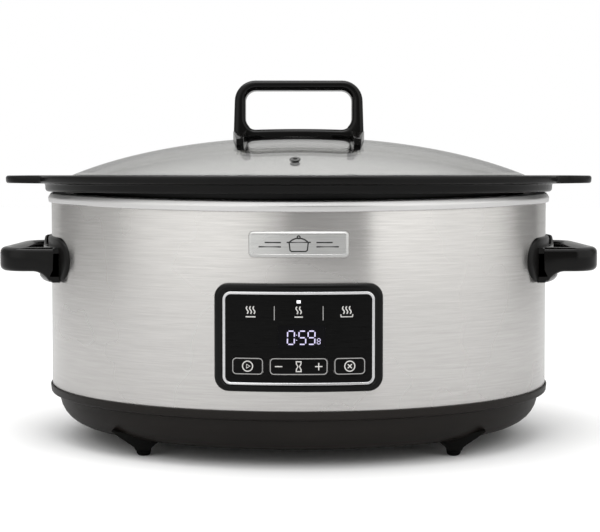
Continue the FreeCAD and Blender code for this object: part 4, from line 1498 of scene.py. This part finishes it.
@dataclass
class ControlPanel:
    """The framed panel on the front: bezel, bright line, keys, print, digits and lamp."""

    middle: float = 0.0879
    trim_middle: float = 0.0874
    bezel_wide: float = 0.1104
    bezel_tall: float = 0.0708
    bezel_corner: float = 0.0095
    trim_wide: float = 0.0996
    trim_tall: float = 0.0614
    trim_line: float = 0.0021
    trim_corner: float = 0.0056
    face: float = 0.00316
    key_row: float = 0.0694
    key_tall: float = 0.0114
    key_wide: float = 0.0206
    key_x: float = 0.0332
    timer_wide: float = 0.038
    key_corner: float = 0.0029

    def build(self) -> None:
        """Builds every piece of the panel."""
        self.build_bezel()
        self.build_trim()
        self.build_keys()
        self.build_print()
        self.build_display()

    def around(self, wide: float, tall: float, corner: float, at: Point) -> Callable[[float], list[Point]]:
        """Makes the outline of a rounded rectangle as a function of its inset.

        Args:
            wide: Its width.
            tall: Its height.
            corner: Its corner radius.
            at: Its centre.

        Returns:
            A function from an inset to the outline's points.
        """
        along = 36 if wide > 0.09 else max(int(wide / 0.003), 2)

        def outline(inset: float) -> list[Point]:
            """Returns the rounded rectangle for an inset."""
            return rounded_box(wide - 2 * inset, tall - 2 * inset, max(corner - inset, 0.0004), at, 8, along)

        return outline

    def build_bezel(self) -> None:
        """Builds the black frame, rounded on its outside and sloping in to the bright line."""
        edge = self.around(self.bezel_wide, self.bezel_tall, self.bezel_corner, (0, self.middle))
        inner = self.around(self.trim_wide, self.trim_tall, self.trim_corner, (0, self.trim_middle))
        outside = [(0.0, 0.0001, 0), (0.0002, 0.0036, 0.002), (0.0026, 0.0043, 0.0014), (0.0040, 0.0042, 0)]
        section = rounded(outside, closed=False, steps=6)
        rings = [[Vector((u, v, height)) for u, v in edge(inset)] for inset, height in section]
        rings += [[Vector((u, v, height)) for u, v in inner(0.0)] for height in (0.0031, 0.0001)]
        bm = bmesh.new()
        skin(bm, rings, join_ends=True)
        tidy(bm)
        bend(bm, WRAP.front)
        add_piece("panel_bezel", bm, "bezel", Body.HOUSING, ["control_bezel"])

    def build_trim(self) -> None:
        """Builds the bright line inside the bezel."""
        section = rounded(
            [
                (0.00005, 0.0005, 0),
                (0.00005, 0.0034, 0.0003),
                (0.0007, 0.0037, 0.0005),
                (self.trim_line - 0.0003, 0.0036, 0.0004),
                (self.trim_line, 0.0031, 0.0002),
                (self.trim_line, 0.0005, 0),
            ],
            steps=4,
        )
        wide, tall = self.trim_wide - 0.0001, self.trim_tall - 0.0001
        outline = self.around(wide, tall, self.trim_corner, (0, self.trim_middle))
        bm = frame_bar(outline, section, WRAP.front)
        add_piece("panel_bright_line", bm, "trim", Body.HOUSING, ["control_trim"])

    def keys(self) -> list[tuple[str, Body, float, float]]:
        """Lists each key's name, body, width and place."""
        return [
            ("start", Body.START, self.key_wide, -self.key_x),
            ("timer", Body.TIMER, self.timer_wide, 0.0),
            ("stop", Body.STOP, self.key_wide, self.key_x),
        ]

    def build_keys(self) -> None:
        """Builds the three keys with their outlines and symbols."""
        symbols = {"start": self.start_symbol(), "timer": self.timer_symbols(), "stop": self.stop_symbol()}
        for label, body, wide, x in self.keys():
            outline = self.around(wide, self.key_tall, self.key_corner, (x, self.key_row))
            section = [(0.0, -0.0012), (0.0, 0.00285), (0.00012, 0.0031), (0.0004, 0.0032)]
            flange = self.around(
                wide + 0.0026, self.key_tall + 0.0026, self.key_corner + 0.001, (x, self.key_row)
            )
            back = [(0.0, -0.0012), (0.0, -0.0001)]
            parts = [plate(outline, section, WRAP.front), plate(flange, back, WRAP.front)]
            add_piece(f"{label}_key_cap", joined(*parts), "fascia", body, [f"{label}_key"])
            edge = outline(0.0006)
            # Border and symbol are print with painted glow: their finishes give them emission, though print
            # is no lamp.
            border = traced([edge + edge[:1]], 0.00062, self.on_face(0.0), 0.00008)
            add_piece(f"{label}_key_border", border, "outline", body)
            mark = traced(symbols[label], 0.0007, self.on_face(0.0), 0.00009)
            add_piece(f"{label}_key_symbol", mark, "print", body)

    def on_face(self, extra: float) -> Placer:
        """Returns a placer for print on the panel's front."""

        def place(u: float, v: float, height: float) -> Vector:
            """Lays a flat point on the panel's face."""
            return WRAP.front(u, v, self.face + 0.00005 + extra + height)

        return place

    def start_symbol(self) -> list[list[Point]]:
        """Draws a circle round a triangle that points right.

        Returns:
            The centre lines.
        """
        x, z = -self.key_x, self.key_row
        r = 0.0013
        triangle = [(x - 0.0007, z - r), (x + 0.0015, z), (x - 0.0007, z + r), (x - 0.0007, z - r)]
        return [arc((x, z), 0.0033, 0, 360, 28), triangle]

    def stop_symbol(self) -> list[list[Point]]:
        """Draws a circle round a cross.

        Returns:
            The centre lines.
        """
        x, z, r = self.key_x, self.key_row, 0.0013
        strokes = [[(x - r, z - r), (x + r, z + r)], [(x - r, z + r), (x + r, z - r)]]
        return [arc((x, z), 0.0033, 0, 360, 28)] + strokes

    def timer_symbols(self) -> list[list[Point]]:
        """Draws a minus, an hourglass and a plus.

        Returns:
            The centre lines.
        """
        z, x, r = self.key_row, 0.013, 0.0024
        minus = [[(-x - r, z), (-x + r, z)]]
        plus = [[(x - r, z), (x + r, z)], [(x, z - r), (x, z + r)]]
        w, h, n = 0.0019, 0.0032, 0.0005
        side = w - 0.0004
        glass = [
            [(-w, z + h), (w, z + h)],
            [(-w, z - h), (w, z - h)],
            [(-side, z + h), (-side, z + h * 0.55), (-n, z), (-side, z - h * 0.55), (-side, z - h)],
            [(side, z + h), (side, z + h * 0.55), (n, z), (side, z - h * 0.55), (side, z - h)],
        ]
        return minus + plus + glass

    def wave(self, x: float, low: float, tall: float) -> list[Point]:
        """Returns one rising steam line."""
        return [(x + 0.0006 * math.sin(math.tau * i / 10), low + tall * i / 10) for i in range(11)]

    def build_print(self) -> None:
        """Builds the printed heat symbols and the dividing lines."""
        z = 0.1052
        lines: list[list[Point]] = []
        for centre, count in ((-0.0312, 3), (0.0, 2), (0.0312, 3)):
            for i in range(count):
                lines.append(self.wave(centre + (i - (count - 1) / 2) * 0.0022, z - 0.0016, 0.0048))
        lines.append([(-0.0344, z - 0.0036), (-0.0280, z - 0.0036)])
        lines.append([(-0.0027, z - 0.0036), (0.0027, z - 0.0036)])
        dish = [(0.0273, z - 0.0020), (0.0275, z - 0.0036), (0.0349, z - 0.0036), (0.0351, z - 0.0020)]
        lines.append(dish)
        # The heat symbols are print with painted glow, from the emission in their finish.
        add_piece(
            "heat_symbols",
            traced(lines, 0.00078, self.on_face(0), 0.00009),
            "print",
            Body.HOUSING,
        )
        # The dividers are print with painted glow, from the emission in their finish.
        bars = [[(x, 0.0995), (x, 0.1086)] for x in (-0.0158, 0.0158)]
        add_piece(
            "panel_dividers",
            traced(bars, 0.00055, self.on_face(0), 0.00008),
            "outline",
            Body.HOUSING,
        )

    def build_display(self) -> None:
        """Builds the time shown by lit segments."""
        lines: list[list[Point]] = []
        for digit, x in (("0", -0.0073), ("5", 0.0001), ("9", 0.0060)):
            lines += self.digit(digit, x, 0.0839, 0.0044, 0.0086)
        lines += [[(-0.0014, z - 0.0002), (-0.0014, z + 0.0002)] for z in (0.0866, 0.0899)]
        place = self.on_face(0.0)
        add_piece(
            "clock_digits", traced(lines, 0.0008, place, 0.00009), "digits", Body.HOUSING
        )
        small = self.digit("8", 0.0120, 0.0841, 0.0019, 0.0035)
        add_piece(
            "clock_small_digit",
            traced(small, 0.00045, place, 0.00008),
            "digits",
            Body.HOUSING,
        )

    def digit(self, figure: str, x: float, z: float, wide: float, tall: float) -> list[list[Point]]:
        """Returns the lit segments of one slanted figure.

        Args:
            figure: The figure that is shown.
            x: Left edge.
            z: Lower edge.
            wide: Width of the figure.
            tall: Height of the figure.

        Returns:
            One short line for each lit segment.
        """
        gap, mid, top = 0.07 * tall, tall / 2, tall
        segments = {
            "a": ((gap, top), (wide - gap, top)),
            "b": ((wide, top - gap), (wide, mid + gap)),
            "c": ((wide, mid - gap), (wide, gap)),
            "d": ((gap, 0.0), (wide - gap, 0.0)),
            "e": ((0.0, gap), (0.0, mid - gap)),
            "f": ((0.0, mid + gap), (0.0, top - gap)),
            "g": ((gap, mid), (wide - gap, mid)),
        }
        lit = {"0": "abcdef", "5": "acdfg", "9": "abcdfg", "8": "abcdefg"}[figure]
        slant = 0.02
        return [[(x + u + slant * v, z + v) for u, v in segments[name]] for name in lit]


@dataclass
class Badge:
    """A raised plate with a bevelled edge and a plain picture of a lidded pot."""

    middle: float = 0.1486
    wide: float = 0.0652
    tall: float = 0.0172
    corner: float = 0.003

    def build(self) -> None:
        """Builds the plate and its picture."""

        def outline(inset: float) -> list[Point]:
            """Returns the plate's plan for an inset."""
            corner = max(self.corner - inset, 0.0006)
            return rounded_box(self.wide - 2 * inset, self.tall - 2 * inset, corner, (0, self.middle), 6, 24)

        section = [(0.0, 0.0001), (0.0, 0.0008), (0.0004, 0.0014), (0.0014, 0.0019)]
        section += [(0.0019, 0.0019), (0.0022, 0.0016)]
        bm = plate(outline, section, WRAP.front)
        add_piece("badge_plate", bm, "badge", Body.HOUSING, ["badge"], 25)

        def place(u: float, v: float, height: float) -> Vector:
            """Lays a flat point on the badge's face."""
            return WRAP.front(u, v, 0.00164 + height)

        z = self.middle
        bowl = [(-0.0062, z + 0.0012), (-0.0056, z - 0.0038), (-0.0046, z - 0.0046), (0.0046, z - 0.0046)]
        bowl += [(0.0056, z - 0.0038), (0.0062, z + 0.0012)]
        lines = [
            bowl,
            [(-0.0078, z + 0.0013), (0.0078, z + 0.0013)],
            arc((0, z - 0.0042), 0.0082, 42, 138, 12),
            arc((0, z + 0.0046), 0.0009, 0, 360, 12),
            [(-0.026, z - 0.0016), (-0.0115, z - 0.0016)],
            [(-0.022, z + 0.0012), (-0.0115, z + 0.0012)],
            [(0.0115, z - 0.0016), (0.026, z - 0.0016)],
            [(0.0115, z + 0.0012), (0.022, z + 0.0012)],
        ]
        add_piece(
            "badge_picture", traced(lines, 0.0009, place, 0.0001), "badge_mark", Body.HOUSING
        )


# ------------------------------------------------------------------ carried-over CAD nodes


KEPT_NODES = {
    "well_liner": "well",
    "heating_band": "sleeve",
    "heater_strap": "screw",
    "heat_shield": "shield",
    "temperature_sensor": "ceramic",
    "thermal_fuse": "shield",
    "power_board": "board",
    "power_relay": "relay",
    "filter_capacitor": "capacitor",
    "terminal_block": "terminal",
    "display_board": "board",
    "key_switches": "dark_part",
    "display_module": "dark_part",
    "display_window": "window",
    "start_light": "lamp",
    "control_fascia": "fascia",
    "badge_clips": "screw",
    "handle_screws": "screw",
    "base_screws": "screw",
    "standoff_posts": "shield",
    "lid_screws": "screw",
    "lid_washers": "silicone",
}


def dress_kept_nodes() -> None:
    """Gives each CAD node that stays in view its finish."""
    for name, finish in KEPT_NODES.items():
        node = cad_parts[name]
        node.data.materials.clear()
        node.data.materials.append(Finishes.get(finish))
        LOG.info("%s keeps its CAD shape", name)


# ------------------------------------------------------------------ studio


@dataclass
class Studio:
    """Floor, lights and camera."""

    distance: float = 0.979
    eye_height: float = 0.1954
    pitch: float = 2.0
    lens: float = 77.9
    shift_x: float = 0.0022
    shift_y: float = -0.0811
    ceiling: float = 1.5
    floor_bounce: float = 0.56
    walls: tuple[tuple[float, float], ...] = (
        (-180, 0.6), (-136, 0.5), (-128, 0.3), (-112, 0.38), (-95, 0.5),
        (-78, 0.55), (-70, 0.8), (-55, 1.1), (-40, 1.2), (-25, 1.15),
        (-16, 1.0), (-6, 0.6), (-3, 0.3), (25, 0.24), (26.5, 1.2),
        (45, 1.2), (70, 1.1), (88, 0.95), (98, 0.7), (108, 0.36),
        (128, 0.24), (136, 0.45), (179.9, 0.6),
    )

    def build(self) -> None:
        """Sets up the studio."""
        self.build_floor()
        self.build_world()
        self.build_lights()
        self.build_camera()
        bpy.context.scene.view_settings.view_transform = "Standard"

    def build_floor(self) -> None:
        """Builds a pale floor."""
        bm = bmesh.new()
        bmesh.ops.create_grid(bm, x_segments=1, y_segments=1, size=6)
        mesh = bpy.data.meshes.new("floor")
        bm.to_mesh(mesh)
        bm.free()
        floor = bpy.data.objects.new("floor", mesh)
        bpy.context.scene.collection.objects.link(floor)
        mesh.materials.append(self.floor_paint())

    def floor_paint(self) -> bpy.types.Material:
        """Makes pale matt paint that throws less light back at the cooker than it shows.

        Returns:
            The new material.
        """
        material, nodes, surface = shader("floor_paint")
        seen = nodes.add("LightPath")
        color = nodes.add("Mix", data_type="RGBA")
        color.inputs["A"].default_value = (self.floor_bounce, self.floor_bounce, self.floor_bounce, 1)
        color.inputs["B"].default_value = (0.92, 0.92, 0.92, 1)
        nodes.link(seen.outputs["Is Camera Ray"], color.inputs["Factor"])
        nodes.link(color.outputs["Result"], surface.inputs["Base Color"])
        surface.inputs["Roughness"].default_value = 0.8
        surface.inputs["Specular IOR Level"].default_value = 0.1
        return material

    def build_world(self) -> None:
        """Makes the soft surroundings: a white backdrop, and a dim room with bright walls to the sides."""
        world = bpy.data.worlds.new("studio")
        world.use_nodes = True
        nodes = Nodes(world.node_tree)
        where = nodes.add("TexCoord")
        split = nodes.add("SeparateXYZ")
        nodes.link(where.outputs["Generated"], split.inputs[0])
        front = nodes.add("Math", operation="MULTIPLY")
        front.inputs[1].default_value = -1.0
        nodes.link(split.outputs["Y"], front.inputs[0])
        bearing = nodes.add("Math", operation="ARCTAN2")
        nodes.link(split.outputs["X"], bearing.inputs[0])
        nodes.link(front.outputs[0], bearing.inputs[1])
        turn = nodes.add("MapRange")
        turn.inputs["From Min"].default_value = -math.pi
        turn.inputs["From Max"].default_value = math.pi
        nodes.link(bearing.outputs[0], turn.inputs["Value"])
        walls = nodes.add("ValToRGB")
        stops = walls.color_ramp.elements
        while len(stops) > 1:
            stops.remove(stops[-1])
        for i, (angle, level) in enumerate(self.walls):
            stop = stops[0] if i == 0 else stops.new((angle + 180) / 360)
            stop.position = (angle + 180) / 360
            stop.color = (level, level, level * 0.985, 1)
        nodes.link(turn.outputs[0], walls.inputs["Fac"])
        height = nodes.add("MapRange")
        height.inputs["From Min"].default_value = 0.45
        height.inputs["From Max"].default_value = 0.8
        nodes.link(split.outputs["Z"], height.inputs["Value"])
        ceiling = nodes.add("Mix", data_type="RGBA")
        ceiling.inputs["B"].default_value = (self.ceiling, self.ceiling, self.ceiling, 1)
        nodes.link(height.outputs[0], ceiling.inputs["Factor"])
        nodes.link(walls.outputs["Color"], ceiling.inputs["A"])
        seen = nodes.add("LightPath")
        backdrop = nodes.add("Mix", data_type="RGBA")
        backdrop.inputs["B"].default_value = (1, 1, 1, 1)
        nodes.link(seen.outputs["Is Camera Ray"], backdrop.inputs["Factor"])
        nodes.link(ceiling.outputs["Result"], backdrop.inputs["A"])
        glow = nodes.add("Background")
        out = nodes.add("OutputWorld")
        nodes.link(backdrop.outputs["Result"], glow.inputs["Color"])
        nodes.link(glow.outputs[0], out.inputs["Surface"])
        bpy.context.scene.world = world

    def panel(self, name: str, at: Vector, look: Vector, wide: float, tall: float, power: float) -> None:
        """Adds one soft light.

        Args:
            name: The light's name.
            at: Its centre.
            look: What it points at.
            wide: Its width.
            tall: Its height.
            power: Its power in watts.
        """
        data = bpy.data.lights.new(name, "AREA")
        data.shape = "RECTANGLE"
        data.size, data.size_y, data.energy = wide, tall, power
        lamp = bpy.data.objects.new(name, data)
        lamp.location = at
        lamp.rotation_euler = (look - at).to_track_quat("-Z", "Y").to_euler()
        bpy.context.scene.collection.objects.link(lamp)

    def build_lights(self) -> None:
        """Adds one broad soft light overhead."""
        self.panel("overhead_light", Vector((-0.2, -0.3, 1.7)), Vector((0, 0, 0.15)), 1.6, 1.0, 14)

    def build_camera(self) -> None:
        """Places the camera level with the pot's flange, pitched a little, with the rest as shift."""
        data = bpy.data.cameras.new("camera")
        data.lens = self.lens
        data.shift_x, data.shift_y = self.shift_x, self.shift_y
        camera = bpy.data.objects.new("camera", data)
        camera.location = (0, -self.distance, self.eye_height)
        camera.rotation_euler = (math.pi / 2 - math.radians(self.pitch), 0, 0)
        bpy.context.scene.collection.objects.link(camera)
        bpy.context.scene.camera = camera


def main() -> None:
    """Builds the cooker and its studio."""
    logging.basicConfig(level=logging.INFO, format="%(message)s")
    Effects.prepare()
    HeatingBase().build()
    CookingPot().build()
    Lid().build()
    for sign, label in ((-1, "left"), (1, "right")):
        SideHandle(sign, label).build()
    ControlPanel().build()
    Badge().build()
    dress_kept_nodes()
    Studio().build()


if __name__ == "__main__":
    main()
